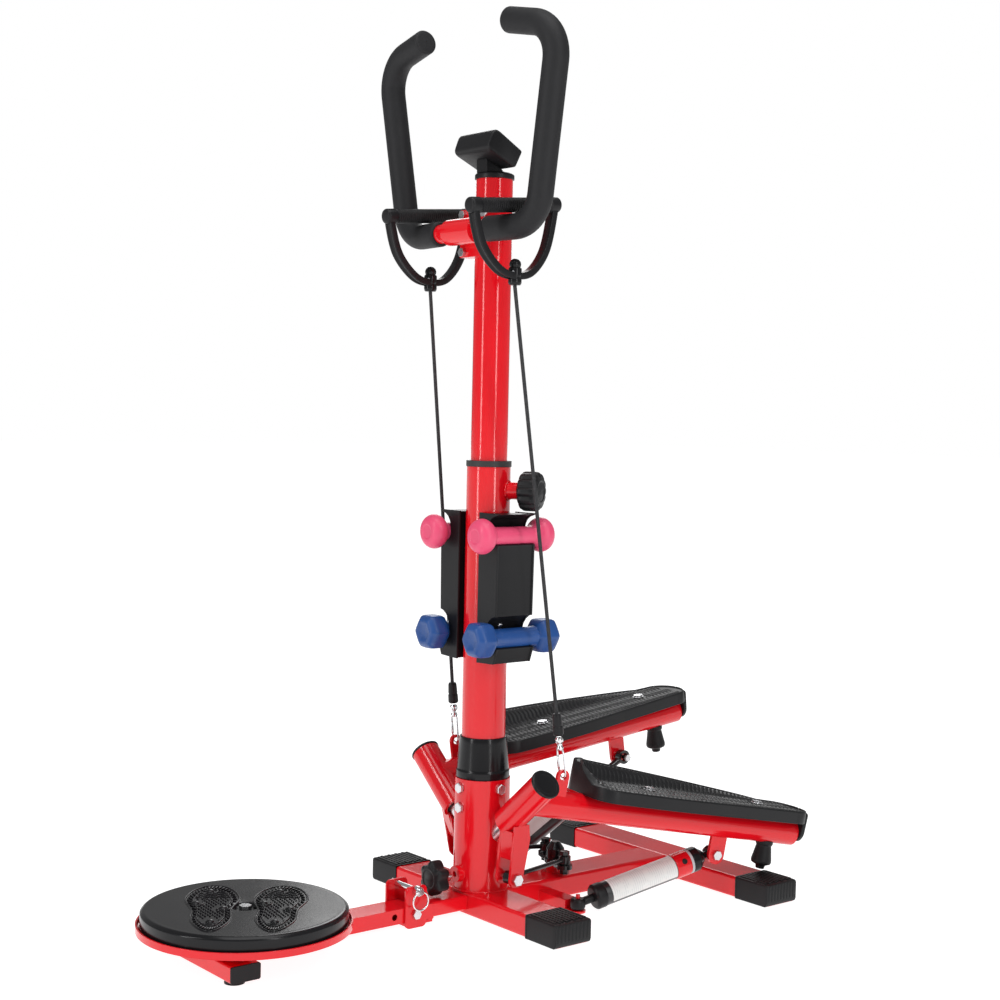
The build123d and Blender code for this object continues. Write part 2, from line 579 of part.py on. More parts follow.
# plug and neck that carry the console on top of the post; the neck ends on the housing's underside
low_back = Vector(0, *CONSOLE_LOW_BACK)
low_run = Vector(0, *CONSOLE_LOW_USER) - low_back
neck_user, neck_back = low_back + low_run * 0.92, low_back + low_run * 0.42
NECK_USER, NECK_BACK = (neck_user.Y, neck_user.Z), (neck_back.Y, neck_back.Z)
with BuildPart() as console_mount:
    with BuildSketch(upright(0, POST_Y, UPPER_TOP)):
        Circle(UPPER_R + 1.5)
    extrude(amount=4)
    with BuildSketch(upright(0, POST_Y, UPPER_TOP)):
        Circle(UPPER_R - UPPER_WALL)
    extrude(amount=-22)
    with BuildSketch(Plane(origin=(-11, 0, 0), x_dir=(0, 1, 0), z_dir=(1, 0, 0))):
        with BuildLine():
            Polyline((POST_Y - 22, UPPER_TOP + 4), (POST_Y + 14, UPPER_TOP + 4), NECK_USER, NECK_BACK, close=True)
        make_face()
    extrude(amount=22)
save(console_mount.part, "console_mount")

# ---------------------------------------------------------------- pedal arms
lever_half = LEVER_GAP / 2
with BuildPart() as pedal_arm:
    with BuildSketch(hub_plane(HUB_LENGTH + HUB_CAP_H - 2)):
        Circle(HUB_R)
    extrude(amount=HUB_LENGTH)
    with BuildSketch(Plane(origin=ARM_START, x_dir=ARM_OUT, z_dir=ARM_DIR)):
        Circle(ARM_R)
    extrude(amount=ARM_LENGTH)
    with BuildSketch(Plane(origin=ARM_START, x_dir=ARM_OUT, z_dir=ARM_DIR)):
        Circle(ARM_R - ARM_WALL)
    extrude(amount=ARM_LENGTH - 3, mode=Mode.SUBTRACT)
    # the hub again, so that the arm's bore stops at it
    with BuildSketch(hub_plane(HUB_LENGTH + HUB_CAP_H - 2)):
        Circle(HUB_R)
    extrude(amount=HUB_LENGTH)
    # lug for the cylinder's rod, under the arm
    with BuildSketch(side_plane(-LUG_T)):
        with Locations((LUG_S, -LUG_DROP)):
            Circle(LUG_W / 2)
        with Locations((LUG_S, (-LUG_DROP - ARM_R + 4) / 2)):
            Rectangle(LUG_W, LUG_DROP - ARM_R + 4)
    extrude(amount=LUG_T)
    # eye that the elastic cord hooks on
    eye = Vector(EYE_RIGHT)
    eye_local = ARM_PLANE.to_local_coords(eye)
    with BuildSketch(side_plane(eye_local.X - 2.5)):
        with Locations((eye_local.Y, eye_local.Z)):
            Circle(9)
        with Locations((eye_local.Y, (eye_local.Z + ARM_R - 6) / 2)):
            Rectangle(18, eye_local.Z - ARM_R + 6)
        with Locations((eye_local.Y, eye_local.Z)):
            Circle(5, mode=Mode.SUBTRACT)
    extrude(amount=5)
    # lever: two cheeks that hang from the hub and hold the tie rod
    for cheek in (LEVER_X - lever_half - 4, LEVER_X + lever_half):
        with BuildSketch(Plane(origin=(cheek, 0, 0), x_dir=(0, 1, 0), z_dir=(1, 0, 0))):
            with BuildLine():
                Polyline((LEVER_Y - 11, LEVER_Z), (POST_Y - 14, 112), (POST_Y - 12, 132), (POST_Y + 12, 132),
                         (POST_Y + 14, 112), (LEVER_Y + 11, LEVER_Z), close=True)
            make_face()
            with Locations((LEVER_Y, LEVER_Z)):
                Circle(11)
        extrude(amount=4)
    # web between the cheeks, close under the hub
    with BuildSketch(Plane(origin=(LEVER_X - lever_half, 0, 0), x_dir=(0, 1, 0), z_dir=(1, 0, 0))):
        with Locations((POST_Y - 12, 105)):
            Rectangle(5, 38)
    extrude(amount=LEVER_GAP)
    # bores
    with BuildSketch(hub_plane(HUB_LENGTH + HUB_CAP_H + 30)):
        Circle(HUB_BORE_R)
    extrude(amount=HUB_LENGTH + HUB_CAP_H + 60, mode=Mode.SUBTRACT)
    for along in PEDAL_BOLTS:
        with BuildSketch(ARM_PLANE):
            with Locations((0, along)):
                Circle(3)
        extrude(amount=40, mode=Mode.SUBTRACT)


# ---------------------------------------------------------------- pedals
def pedal_outline(inset):
    """The pedal's outline: blunt toe, slightly bowed sides, narrow round heel."""
    half, heel = PEDAL_HALF - inset, HEEL_HALF - inset
    toe, end = TOE_S + inset, HEEL_S - inset
    corner = 30 - inset
    with BuildSketch() as outline:
        with BuildLine():
            Line((-half + corner, toe), (half - corner, toe))
            right_toe = RadiusArc((half - corner, toe), (half, toe + corner), -corner)
            right_side = Spline(right_toe @ 1, (half + 2, 200), (heel + 3, end - 30),
                                tangents=((0.05, 1), (-0.3, 1)))
            heel_arc = Spline(right_side @ 1, (0, end), (-heel - 3, end - 30), tangents=((-0.3, 1), (-0.3, -1)))
            left_side = Spline(heel_arc @ 1, (-half - 2, 200), (-half, toe + corner),
                               tangents=((-0.3, -1), (0.05, -1)))
            RadiusArc(left_side @ 1, (-half + corner, toe), -corner)
        make_face()
    return outline.sketch


def pedal(wall_side):
    """A moulded foot plate, hollow below, with a wall round the toe and along one side."""
    with BuildPart() as plate:
        with BuildSketch(Plane(origin=arm_point(0, 0, SKIRT_H), x_dir=ARM_OUT, z_dir=ARM_UP)):
            add(pedal_outline(0))
        extrude(amount=TREAD_H - SKIRT_H)
        # wall: a band of the outline, cut down by a sloping plane and left off on the open side
        with BuildSketch(Plane(origin=arm_point(0, 0, TREAD_H), x_dir=ARM_OUT, z_dir=ARM_UP)):
            add(pedal_outline(0))
            add(pedal_outline(5), mode=Mode.SUBTRACT)
            with Locations((wall_side * -PEDAL_HALF, 260)):
                Rectangle(2 * PEDAL_HALF, 300, mode=Mode.SUBTRACT)
            with Locations((0, WALL_END_S + 150)):
                Rectangle(4 * PEDAL_HALF, 300, mode=Mode.SUBTRACT)
        extrude(amount=WALL_H)
        with BuildSketch(side_plane(-2 * PEDAL_HALF)):
            with BuildLine():
                Polyline((TOE_S + 8, TREAD_H + WALL_H), (WALL_END_S + 1, TREAD_H + 0.5),
                         (WALL_END_S + 1, TREAD_H + WALL_H + 1), (TOE_S + 8, TREAD_H + WALL_H + 1), close=True)
            make_face()
        extrude(amount=4 * PEDAL_HALF, mode=Mode.SUBTRACT)
        # lip that wraps down behind the arm's end
        with BuildSketch(Plane(origin=arm_point(0, HEEL_S - 6.5, TREAD_H - 4), x_dir=ARM_OUT, z_dir=ARM_DIR)):
            with Locations((0, 20)):
                RectangleRounded(40, 44, 8)
        extrude(amount=4.5)
        # hollow underside, with a boss round each bolt
        with BuildSketch(Plane(origin=arm_point(0, 0, SKIRT_H - 1), x_dir=ARM_OUT, z_dir=ARM_UP)):
            add(pedal_outline(PEDAL_SKIN))
            for along in PEDAL_BOLTS:
                with Locations((0, along)):
                    Circle(13, mode=Mode.SUBTRACT)
            with Locations((0, HEEL_S)):
                Rectangle(60, 12, mode=Mode.SUBTRACT)
        extrude(amount=TREAD_H - SKIRT_H + 1 - PEDAL_SKIN, mode=Mode.SUBTRACT)
        with BuildSketch(Plane(origin=ARM_START, x_dir=ARM_OUT, z_dir=ARM_DIR)):
            Circle(ARM_R)
        extrude(amount=ARM_LENGTH, mode=Mode.SUBTRACT)
        with BuildSketch(ARM_PLANE):
            for along in PEDAL_BOLTS:
                with Locations((0, along)):
                    Circle(3)
        extrude(amount=60, mode=Mode.SUBTRACT)
    return plate.part


# rubber bumper under the arm, flared at its foot
with BuildPart() as bumper:
    with BuildSketch(side_plane(0)):
        with BuildLine():
            Polyline((BUMPER_S, -ARM_R + 4), (BUMPER_S + 11, -ARM_R + 4), (BUMPER_S + 14.5, -ARM_R - 27),
                     (BUMPER_S + 6, -ARM_R - 32), (BUMPER_S + 6, -ARM_R - BUMPER_LENGTH),
                     (BUMPER_S, -ARM_R - BUMPER_LENGTH), close=True)
        make_face()
    revolve(axis=Axis(arm_point(0, BUMPER_S, 0), ARM_UP))
    with BuildSketch(Plane(origin=ARM_START, x_dir=ARM_OUT, z_dir=ARM_DIR)):
        Circle(ARM_R)
    extrude(amount=ARM_LENGTH, mode=Mode.SUBTRACT)

# domed cap that closes the hub's upper end
with BuildPart() as hub_cap:
    with BuildSketch(hub_plane(HUB_CAP_H - 2)):
        Circle(HUB_R + 1)
    extrude(amount=HUB_CAP_H - 1)
    chamfer(hub_cap.faces().sort_by(Axis(HUB_TOP, HUB_DIR))[-1].edges(), 1.5)
    with BuildSketch(hub_plane(HUB_CAP_H - 2)):
        Circle(HUB_BORE_R)
    extrude(amount=-6)

lever_out = LEVER_X + lever_half + 4
with BuildPart() as pedal_bolts:
    for along in PEDAL_BOLTS:
        with BuildSketch(Plane(origin=arm_point(0, along, TREAD_H), x_dir=ARM_OUT, z_dir=ARM_UP)):
            Circle(7)
        extrude(amount=2.5)
        with BuildSketch(Plane(origin=arm_point(0, along, TREAD_H), x_dir=ARM_OUT, z_dir=ARM_UP)):
            Circle(3)
        extrude(amount=-26)
    # bolt and nut that hold the cylinder's rod
    with BuildSketch(side_plane(0)):
        with Locations((LUG_S, -LUG_DROP)):
            RegularPolygon(7, 6)
    extrude(amount=4.5)
    with BuildSketch(side_plane(-LUG_T)):
        with Locations((LUG_S, -LUG_DROP)):
            Circle(3)
    extrude(amount=-22)
    with BuildSketch(side_plane(-LUG_T - 20)):
        with Locations((LUG_S, -LUG_DROP)):
            RegularPolygon(5, 6)
    extrude(amount=-4)
    # bolt and nut that hold the tie rod in the lever
    with BuildSketch(Plane(origin=(lever_out, LEVER_Y, LEVER_Z), x_dir=(0, 1, 0), z_dir=(1, 0, 0))):
        RegularPolygon(8, 6)
    extrude(amount=5)
    with BuildSketch(Plane(origin=(lever_out, LEVER_Y, LEVER_Z), x_dir=(0, 1, 0), z_dir=(-1, 0, 0))):
        Circle(3)
    extrude(amount=LEVER_GAP + 8)
    with BuildSketch(Plane(origin=(lever_out - LEVER_GAP - 8, LEVER_Y, LEVER_Z), x_dir=(0, 1, 0),
                           z_dir=(-1, 0, 0))):
        RegularPolygon(6, 6)
    extrude(amount=4)
with BuildPart() as pedal_arm_drilled:
    add(pedal_arm.part)
    with BuildSketch(side_plane(-LUG_T - 1)):
        with Locations((LUG_S, -LUG_DROP)):
            Circle(3)
    extrude(amount=LUG_T + 2, mode=Mode.SUBTRACT)
    with BuildSketch(Plane(origin=(lever_out + 1, LEVER_Y, LEVER_Z), x_dir=(0, 1, 0), z_dir=(-1, 0, 0))):
        Circle(3)
    extrude(amount=LEVER_GAP + 12, mode=Mode.SUBTRACT)

for side in ("right", "left"):
    save(place_side(pedal_arm_drilled.part, side), f"pedal_arm_{side}")
    save(place_side(pedal(-1 if side == "right" else 1), side), f"pedal_{side}")
    save(place_side(bumper.part, side), f"bumper_{side}")
    save(place_side(hub_cap.part, side), f"hub_cap_{side}")
    save(place_side(pedal_bolts.part, side), f"pedal_bolts_{side}")

# ---------------------------------------------------------------- rocker and tie rods
rocker_turn = radians(ROCKER_ANGLE)
rocker_ends = {"right": Vector(ROCKER_REACH * cos(rocker_turn), ROCKER_Y - ROCKER_REACH * sin(rocker_turn), 0),
               "left": Vector(-ROCKER_REACH * cos(rocker_turn), ROCKER_Y + ROCKER_REACH * sin(rocker_turn), 0)}
ROCKER_PLANE = Plane(origin=(0, ROCKER_Y, ROCKER_Z), x_dir=(cos(rocker_turn), -sin(rocker_turn), 0),
                     z_dir=(0, 0, 1))
with BuildPart() as rocker:
    with BuildSketch(ROCKER_PLANE):
        SlotCenterToCenter(2 * ROCKER_REACH, 22)
        Circle(15)
        Circle(6.06, mode=Mode.SUBTRACT)
    extrude(amount=ROCKER_T)
    # rubber dome over the pivot's nut
    with BuildSketch(upright(0, ROCKER_Y, ROCKER_Z + ROCKER_T)):
        Circle(13)
        Circle(6.06, mode=Mode.SUBTRACT)
    extrude(amount=14)
    with BuildSketch(upright(0, ROCKER_Y, ROCKER_Z + ROCKER_T + 14)):
        Circle(13)
    extrude(amount=10, taper=35)
    # bolts that the tie rods turn on, each with a nut under the plate
    for end in rocker_ends.values():
        with BuildSketch(upright(end.X, end.Y, ROCKER_Z - 7)):
            RegularPolygon(6.5, 6)
        extrude(amount=7)
        with BuildSketch(upright(end.X, end.Y, ROCKER_Z + ROCKER_T)):
            Circle(4)
        extrude(amount=15)
        with BuildSketch(upright(end.X, end.Y, ROCKER_Z + ROCKER_T + 14)):
            RegularPolygon(7, 6)
        extrude(amount=5)
save(rocker.part, "rocker")

lever_eye = Vector(LEVER_X, LEVER_Y, LEVER_Z)
lever_eyes = {"right": lever_eye, "left": mirrored(raised(lever_eye))}


def tie_rod(start, end):
    """A thin rod with a flat eye on the rocker's bolt and an upright eye in the lever."""
    run = (end - start).normalized()
    with BuildPart() as rod:
        with BuildSketch(upright(start.X, start.Y, start.Z - 5)):
            Circle(TIE_EYE_R)
        extrude(amount=10)
        with BuildSketch(Plane(origin=start, z_dir=run)):
            Circle(TIE_R)
        extrude(amount=(end - start).length)
        across = run.cross(Vector(0, 0, 1)).normalized()
        with BuildSketch(Plane(origin=end - across * 4.5, x_dir=(0, 0, 1), z_dir=across)):
            Circle(TIE_EYE_R)
        extrude(amount=9)
        with BuildSketch(Plane(origin=end - across * 9, x_dir=(0, 0, 1), z_dir=across)):
            Circle(5.6)
        extrude(amount=18, mode=Mode.SUBTRACT)
        with BuildSketch(upright(start.X, start.Y, start.Z - 10)):
            Circle(4.08)
        extrude(amount=20, mode=Mode.SUBTRACT)
    return rod.part


for side in ("right", "left"):
    pivot = rocker_ends[side] + Vector(0, 0, TIE_EYE_Z)
    save(tie_rod(pivot, lever_eyes[side]), f"tie_rod_{side}")

# ---------------------------------------------------------------- hydraulic cylinders
rod_eye = arm_point(EYE_OFFSET, LUG_S, -LUG_DROP)
rod_eyes = {"right": rod_eye, "left": mirrored(raised(rod_eye))}
for side in ("right", "left"):
    foot = Vector(CYL_FOOT[0] if side == "right" else -CYL_FOOT[0], CYL_FOOT[1], CYL_FOOT[2])
    reach = (rod_eyes[side] - foot).length
    run = (rod_eyes[side] - foot).normalized()

    with BuildPart() as cylinder:
        with BuildSketch(Plane(origin=foot + run * CYL_START, z_dir=run)):
            Circle(CYL_R)
        extrude(amount=CYL_END - CYL_START)
        with BuildSketch(Plane(origin=foot + run * CYL_END, z_dir=run)):
            Circle(CYL_R)
        extrude(amount=CYL_NOSE, taper=35)
        with BuildSketch(Plane(origin=foot + run * (CYL_START + 12), z_dir=run)):
            Circle(PISTON_R + 0.1)
        extrude(amount=CYL_END - CYL_START - 24, mode=Mode.SUBTRACT)
        with BuildSketch(Plane(origin=foot + run * (CYL_END - 20), z_dir=run)):
            Circle(ROD_R + 0.1)
        extrude(amount=40, mode=Mode.SUBTRACT)
        # foot eye, a ball with room round the bracket's pin
        with Locations(foot):
            Sphere(8.6)
        with BuildSketch(Plane(origin=foot, z_dir=run)):
            Circle(6)
        extrude(amount=CYL_START)
        with BuildSketch(Plane(origin=foot - Vector(0, 0, 12), x_dir=(1, 0, 0), z_dir=(0, 0, 1))):
            Circle(6)
        extrude(amount=24, mode=Mode.SUBTRACT)
    save(cylinder.part, f"cylinder_{side}")

    across = Vector(ARM_OUT) if side == "right" else mirrored(raised(HUB_TOP + ARM_OUT) - HUB_TOP)
    rest_piston = reach - 110
    with BuildPart() as cylinder_rod:
        with BuildSketch(Plane(origin=foot + run * rest_piston, z_dir=run)):
            Circle(ROD_R)
        extrude(amount=110)
        with BuildSketch(Plane(origin=foot + run * rest_piston, z_dir=run)):
            Circle(PISTON_R)
        extrude(amount=12)
        with BuildSketch(Plane(origin=rod_eyes[side] - across * EYE_W / 2, z_dir=across)):
            Circle(EYE_R)
        extrude(amount=EYE_W)
        with BuildSketch(Plane(origin=rod_eyes[side] - across * 15, z_dir=across)):
            Circle(6.4)
        extrude(amount=30, mode=Mode.SUBTRACT)
    save(cylinder_rod.part, f"cylinder_rod_{side}")

# ---------------------------------------------------------------- twist board
stub_front = FRONT_Y - FRAME_W / 2
stub_end = HINGE_Y + 20
with BuildPart() as twister_stub:
    with BuildSketch(Plane(origin=(0, stub_front, HINGE_Z), x_dir=(1, 0, 0), z_dir=(0, -1, 0))):
        RectangleRounded(STUB_W, STUB_H, 2.5)
        RectangleRounded(STUB_W - 3, STUB_H - 3, 1.5, mode=Mode.SUBTRACT)
    extrude(amount=stub_front - stub_end)
    # U-shaped bracket that the board hinges in
    for way in (1, -1):
        plate_in = STUB_W / 2 + PLATE_GAP
        with BuildSketch(Plane(origin=(min(way * plate_in, way * (plate_in + PLATE_T)), HINGE_Y, HINGE_Z),
                               x_dir=(0, 1, 0), z_dir=(1, 0, 0))):
            with Locations((0, PIN_RISE / 2 - 6)):
                RectangleRounded(2 * PLATE_HALF, PIN_RISE + 24, 7)
            with Locations((PLATE_HALF + 2, 0)):
                Rectangle(20, STUB_H)
            for rise, hole_r in ((0, BOLT_R), (PIN_RISE, 4.1)):
                with Locations((0, rise)):
                    Circle(hole_r, mode=Mode.SUBTRACT)
        extrude(amount=PLATE_T)
    with BuildSketch(upright(0, HINGE_Y + 5, HINGE_Z - STUB_H / 2 - 4)):
        Rectangle(2 * hinge_half, 2 * PLATE_HALF + 10)
    extrude(amount=3.4)
    with BuildSketch(upright(0, stub_end + 4, HINGE_Z - STUB_H / 2 - 1)):
        Rectangle(2 * hinge_half, 8)
    extrude(amount=1.2)
    with BuildSketch(Plane(origin=(-hinge_half, stub_end + 4, HINGE_Z), x_dir=(0, 1, 0), z_dir=(1, 0, 0))):
        Rectangle(8, STUB_H)
    extrude(amount=hinge_half - STUB_W / 2 + 0.5)
    with BuildSketch(Plane(origin=(hinge_half, stub_end + 4, HINGE_Z), x_dir=(0, 1, 0), z_dir=(-1, 0, 0))):
        Rectangle(8, STUB_H)
    extrude(amount=hinge_half - STUB_W / 2 + 0.5)
save(twister_stub.part, "twister_stub")

with BuildPart() as stub_foot:
    with BuildSketch(upright(0, HINGE_Y + 10, 0)):
        Circle(18)
    extrude(amount=HINGE_Z - STUB_H / 2 - 4)
save(stub_foot.part, "stub_foot")

# spring-loaded pin: it crosses the bracket above the arm, with a ring to pull it by
pin_z = HINGE_Z + PIN_RISE
with BuildPart() as pull_pin:
    with BuildSketch(Plane(origin=(-hinge_half - 8, HINGE_Y, pin_z), x_dir=(0, 1, 0), z_dir=(1, 0, 0))):
        Circle(4)
    extrude(amount=2 * hinge_half + 20)
    with BuildSketch(Plane(origin=(hinge_half + 0.4, HINGE_Y, pin_z), x_dir=(0, 1, 0), z_dir=(1, 0, 0))):
        Circle(6.5)
    extrude(amount=7)
    ring_centre = Vector(hinge_half + 10, HINGE_Y, pin_z - 12.2)
    with BuildSketch(Plane(origin=ring_centre + Vector(0, 0, 12.2), x_dir=(1, 0, 0), z_dir=(0, 1, 0))):
        Circle(1.3)
    revolve(axis=Axis(ring_centre, (1, 0, 0)))
save(pull_pin.part, "pull_pin")

arm_front = FOOT_BAR_Y + STUB_W / 2
with BuildPart() as twister_arm:
    with BuildSketch(Plane(origin=(-STUB_W / 2, 0, 0), x_dir=(0, 1, 0), z_dir=(1, 0, 0))):
        with Locations(((HINGE_Y + arm_front) / 2, HINGE_Z)):
            Rectangle(HINGE_Y - arm_front, STUB_H)
        with Locations((HINGE_Y, HINGE_Z)):
            Circle(STUB_H / 2)
    extrude(amount=STUB_W)
    with BuildSketch(Plane(origin=(0, HINGE_Y - 14, HINGE_Z), x_dir=(1, 0, 0), z_dir=(0, -1, 0))):
        Rectangle(STUB_W - 3, STUB_H - 3)
    extrude(amount=HINGE_Y - 14 - arm_front - 3, mode=Mode.SUBTRACT)
    with BuildSketch(Plane(origin=(-FOOT_BAR_HALF, FOOT_BAR_Y, HINGE_Z), x_dir=(0, 1, 0), z_dir=(1, 0, 0))):
        RectangleRounded(STUB_W, STUB_H, 2.5)
        RectangleRounded(STUB_W - 3, STUB_H - 3, 1.5, mode=Mode.SUBTRACT)
    extrude(amount=2 * FOOT_BAR_HALF)
    for reach, hole_r in ((0, BOLT_R + 0.06), (PIN_RISE, 4.2)):
        with BuildSketch(Plane(origin=(-30, HINGE_Y - reach, HINGE_Z), x_dir=(0, 1, 0), z_dir=(1, 0, 0))):
            Circle(hole_r)
        extrude(amount=60, mode=Mode.SUBTRACT)
    for way in (1, -1):
        with BuildSketch(upright(way * (FOOT_BAR_HALF - FOOT_PAD_IN), FOOT_BAR_Y, HINGE_Z - STUB_H)):
            Circle(4)
        extrude(amount=STUB_H, mode=Mode.SUBTRACT)
save(twister_arm.part, "twister_arm")

twister_feet = []
for way in (1, -1):
    # a plug in each end of the cross-foot, moulded together with the round pad that stands on the floor
    with BuildPart() as foot_plug:
        with BuildSketch(Plane(origin=(way * FOOT_BAR_HALF, FOOT_BAR_Y, HINGE_Z), x_dir=(0, 1, 0),
                               z_dir=(way, 0, 0))):
            RectangleRounded(STUB_W, STUB_H, 2.5)
        extrude(amount=2.5)
        with BuildSketch(Plane(origin=(way * FOOT_BAR_HALF, FOOT_BAR_Y, HINGE_Z), x_dir=(0, 1, 0),
                               z_dir=(-way, 0, 0))):
            RectangleRounded(STUB_W - 3, STUB_H - 3, 1.5)
        extrude(amount=FOOT_PAD_IN + 8)
        with BuildSketch(upright(way * (FOOT_BAR_HALF - FOOT_PAD_IN), FOOT_BAR_Y, 0)):
            Circle(12.5)
        extrude(amount=HINGE_Z - STUB_H / 2)
        with BuildSketch(upright(way * (FOOT_BAR_HALF - FOOT_PAD_IN), FOOT_BAR_Y, 0)):
            Circle(4)
        extrude(amount=HINGE_Z)
    twister_feet.append(foot_plug.part)
save(Compound(children=twister_feet), "twister_feet")

DISC_SECTION = Plane(origin=(0, DISC_Y, 0), x_dir=(1, 0, 0), z_dir=(0, -1, 0))
disc_axis = Axis((0, DISC_Y, 0), (0, 0, 1))
with BuildPart() as twist_tray:
    with BuildSketch(DISC_SECTION):
        with BuildLine():
            Polyline((5, TRAY_FLOOR), (70, TRAY_FLOOR), (TRAY_R - 6, TRAY_TOP - 11), (TRAY_R, TRAY_TOP - 9),
                     (TRAY_R, TRAY_TOP), (TRAY_R - TRAY_T, TRAY_TOP), (TRAY_R - TRAY_T, TRAY_TOP - 7),
                     (TRAY_R - 7, TRAY_TOP - 9), (69, TRAY_FLOOR + TRAY_T), (5, TRAY_FLOOR + TRAY_T), close=True)
        make_face()
    revolve(axis=disc_axis)
save(twist_tray.part, "twist_tray")

with BuildPart() as twist_disc:
    with BuildSketch(DISC_SECTION):
        with BuildLine():
            Polyline((5.2, DISC_TOP - 9), (62, DISC_TOP - 9), (64, DISC_TOP - 5), (DISC_R - 4, DISC_TOP - 5),
                     (DISC_R - 4, TRAY_TOP - 5), (DISC_R, TRAY_TOP - 5), (DISC_R, DISC_TOP - 4),
                     (DISC_R - 4, DISC_TOP), (18, DISC_TOP), (14, DISC_TOP - 5), (5.2, DISC_TOP - 5), close=True)
        make_face()
    revolve(axis=disc_axis)
save(twist_disc.part, "twist_disc")

with BuildPart() as disc_bearing:
    with BuildSketch(DISC_SECTION):
        with Locations((50, (TRAY_FLOOR + TRAY_T + DISC_TOP - 9.4) / 2)):
            Rectangle(16, DISC_TOP - 9.4 - TRAY_FLOOR - TRAY_T)
    revolve(axis=disc_axis)
save(disc_bearing.part, "disc_bearing")

with BuildPart() as disc_bolt:
    with BuildSketch(upright(0, DISC_Y, DISC_TOP - 4.6)):
        RegularPolygon(8, 6)
    extrude(amount=4.5)
    with BuildSketch(upright(0, DISC_Y, TRAY_FLOOR)):
        Circle(5)
    extrude(amount=DISC_TOP - 4.6 - TRAY_FLOOR)
save(disc_bolt.part, "disc_bolt")


# ---------------------------------------------------------------- racks and dumbbells
def rack_section(inset):
    """The rack's side view: x away from the post, y up, with two open seats for the handles."""
    small_r = SMALL_HANDLE_R + BELL_GAP + inset
    large_r = LARGE_HANDLE_R + BELL_GAP + inset
    with BuildSketch() as section:
        with BuildLine():
            Polyline((RACK_BACK - inset, RACK_BOTTOM + inset), (RACK_X - 2 - inset, RACK_BOTTOM + 2 + inset),
                     (RACK_X + 5 - inset, LARGE_BELL_Z - 13 - inset * 0.3),
                     (RACK_X - inset, LARGE_BELL_Z - 13), (RACK_X - inset, RACK_TOP - 9),
                     (RACK_X + 3 - inset, RACK_TOP - inset), (RACK_BACK - inset, RACK_TOP - inset), close=True)
        make_face()
        for height, radius, low, high in ((SMALL_BELL_Z, small_r, -5 - inset, 26 + inset),
                                          (LARGE_BELL_Z, large_r, -13.5, 22 + inset)):
            with Locations((BELL_X, height)):
                Circle(radius, mode=Mode.SUBTRACT)
            with BuildLine():
                Polyline((BELL_X, height - radius), (BELL_X + 20, height - radius + (low + radius) * 0.4),
                         (BELL_X + 20, height + high + 6), (BELL_X, height + radius), close=True)
            make_face(mode=Mode.SUBTRACT)
    return section.sketch


def rack(way):
    """A plastic dumbbell rack, open towards the post that it is screwed to."""
    section = Plane(origin=(0, POST_Y + RACK_HALF, 0), x_dir=(1, 0, 0), z_dir=(0, -1, 0))
    pocket = Plane(origin=(0, POST_Y + RACK_HALF - RACK_SKIN, 0), x_dir=(1, 0, 0), z_dir=(0, -1, 0))
    with BuildPart() as holder:
        with BuildSketch(section):
            add(rack_section(0))
        extrude(amount=2 * RACK_HALF)
        with BuildSketch(pocket):
            add(rack_section(RACK_SKIN))
            with Locations((LOWER_R / 2, 450)):
                Rectangle(LOWER_R + 2, 400, mode=Mode.SUBTRACT)
        extrude(amount=2 * (RACK_HALF - RACK_SKIN), mode=Mode.SUBTRACT)
        with BuildSketch(upright(0, POST_Y, RACK_BOTTOM - 1)):
            Circle(LOWER_R)
        extrude(amount=RACK_TOP, mode=Mode.SUBTRACT)
    return holder.part if way > 0 else holder.part.mirror(Plane.YZ)


save(rack(1), "rack_right")
save(rack(-1), "rack_left")


def small_dumbbell(way):
    """A round-headed dumbbell lying along Y, its heads outside the rack."""
    length, head, head_l = 127.0, 24.0, 28.0
    with BuildPart() as bell:
        with BuildSketch(Plane(origin=(way * BELL_X, SMALL_BELL_Y, SMALL_BELL_Z), x_dir=(0, 1, 0), z_dir=(1, 0, 0))):
            with BuildLine():
                Polyline((-length / 2, 0), (-length / 2, head - 8), (-length / 2 + 4, head - 1.5),
                         (-length / 2 + 12, head), (-length / 2 + 20, head - 1.5),
                         (-length / 2 + head_l - 8, SMALL_HANDLE_R + 5), (-length / 2 + head_l, SMALL_HANDLE_R),
                         (length / 2 - head_l, SMALL_HANDLE_R), (length / 2 - head_l + 8, SMALL_HANDLE_R + 5),
                         (length / 2 - 20, head - 1.5), (length / 2 - 12, head), (length / 2 - 4, head - 1.5),
                         (length / 2, head - 8), (length / 2, 0), close=True)
            make_face()
        revolve(axis=Axis((way * BELL_X, SMALL_BELL_Y, SMALL_BELL_Z), (0, 1, 0)))
    return bell.part


def large_dumbbell(way):
    """A dumbbell with hexagonal heads lying along Y."""
    length, head, head_l = 141.0, 27.0, 33.0
    centre = (way * BELL_X, LARGE_BELL_Y - length / 2, LARGE_BELL_Z)
    with BuildPart() as bell:
        with BuildSketch(Plane(origin=centre, x_dir=(1, 0, 0), z_dir=(0, 1, 0))):
            Circle(LARGE_HANDLE_R)
        extrude(amount=length)
        for start in (0, length - head_l):
            with BuildPart(mode=Mode.PRIVATE) as head_block:
                with BuildSketch(Plane(origin=(centre[0], centre[1] + start, centre[2]), x_dir=(1, 0, 0),
                                       z_dir=(0, 1, 0))):
                    RegularPolygon(head, 6)
                extrude(amount=head_l)
                ends = head_block.faces().filter_by(Axis.Y)
                chamfer(ends.edges(), 5)
            add(head_block.part)
    return bell.part


for side, way in (("right", 1), ("left", -1)):
    save(small_dumbbell(way), f"small_dumbbell_{side}")
    save(large_dumbbell(way), f"large_dumbbell_{side}")

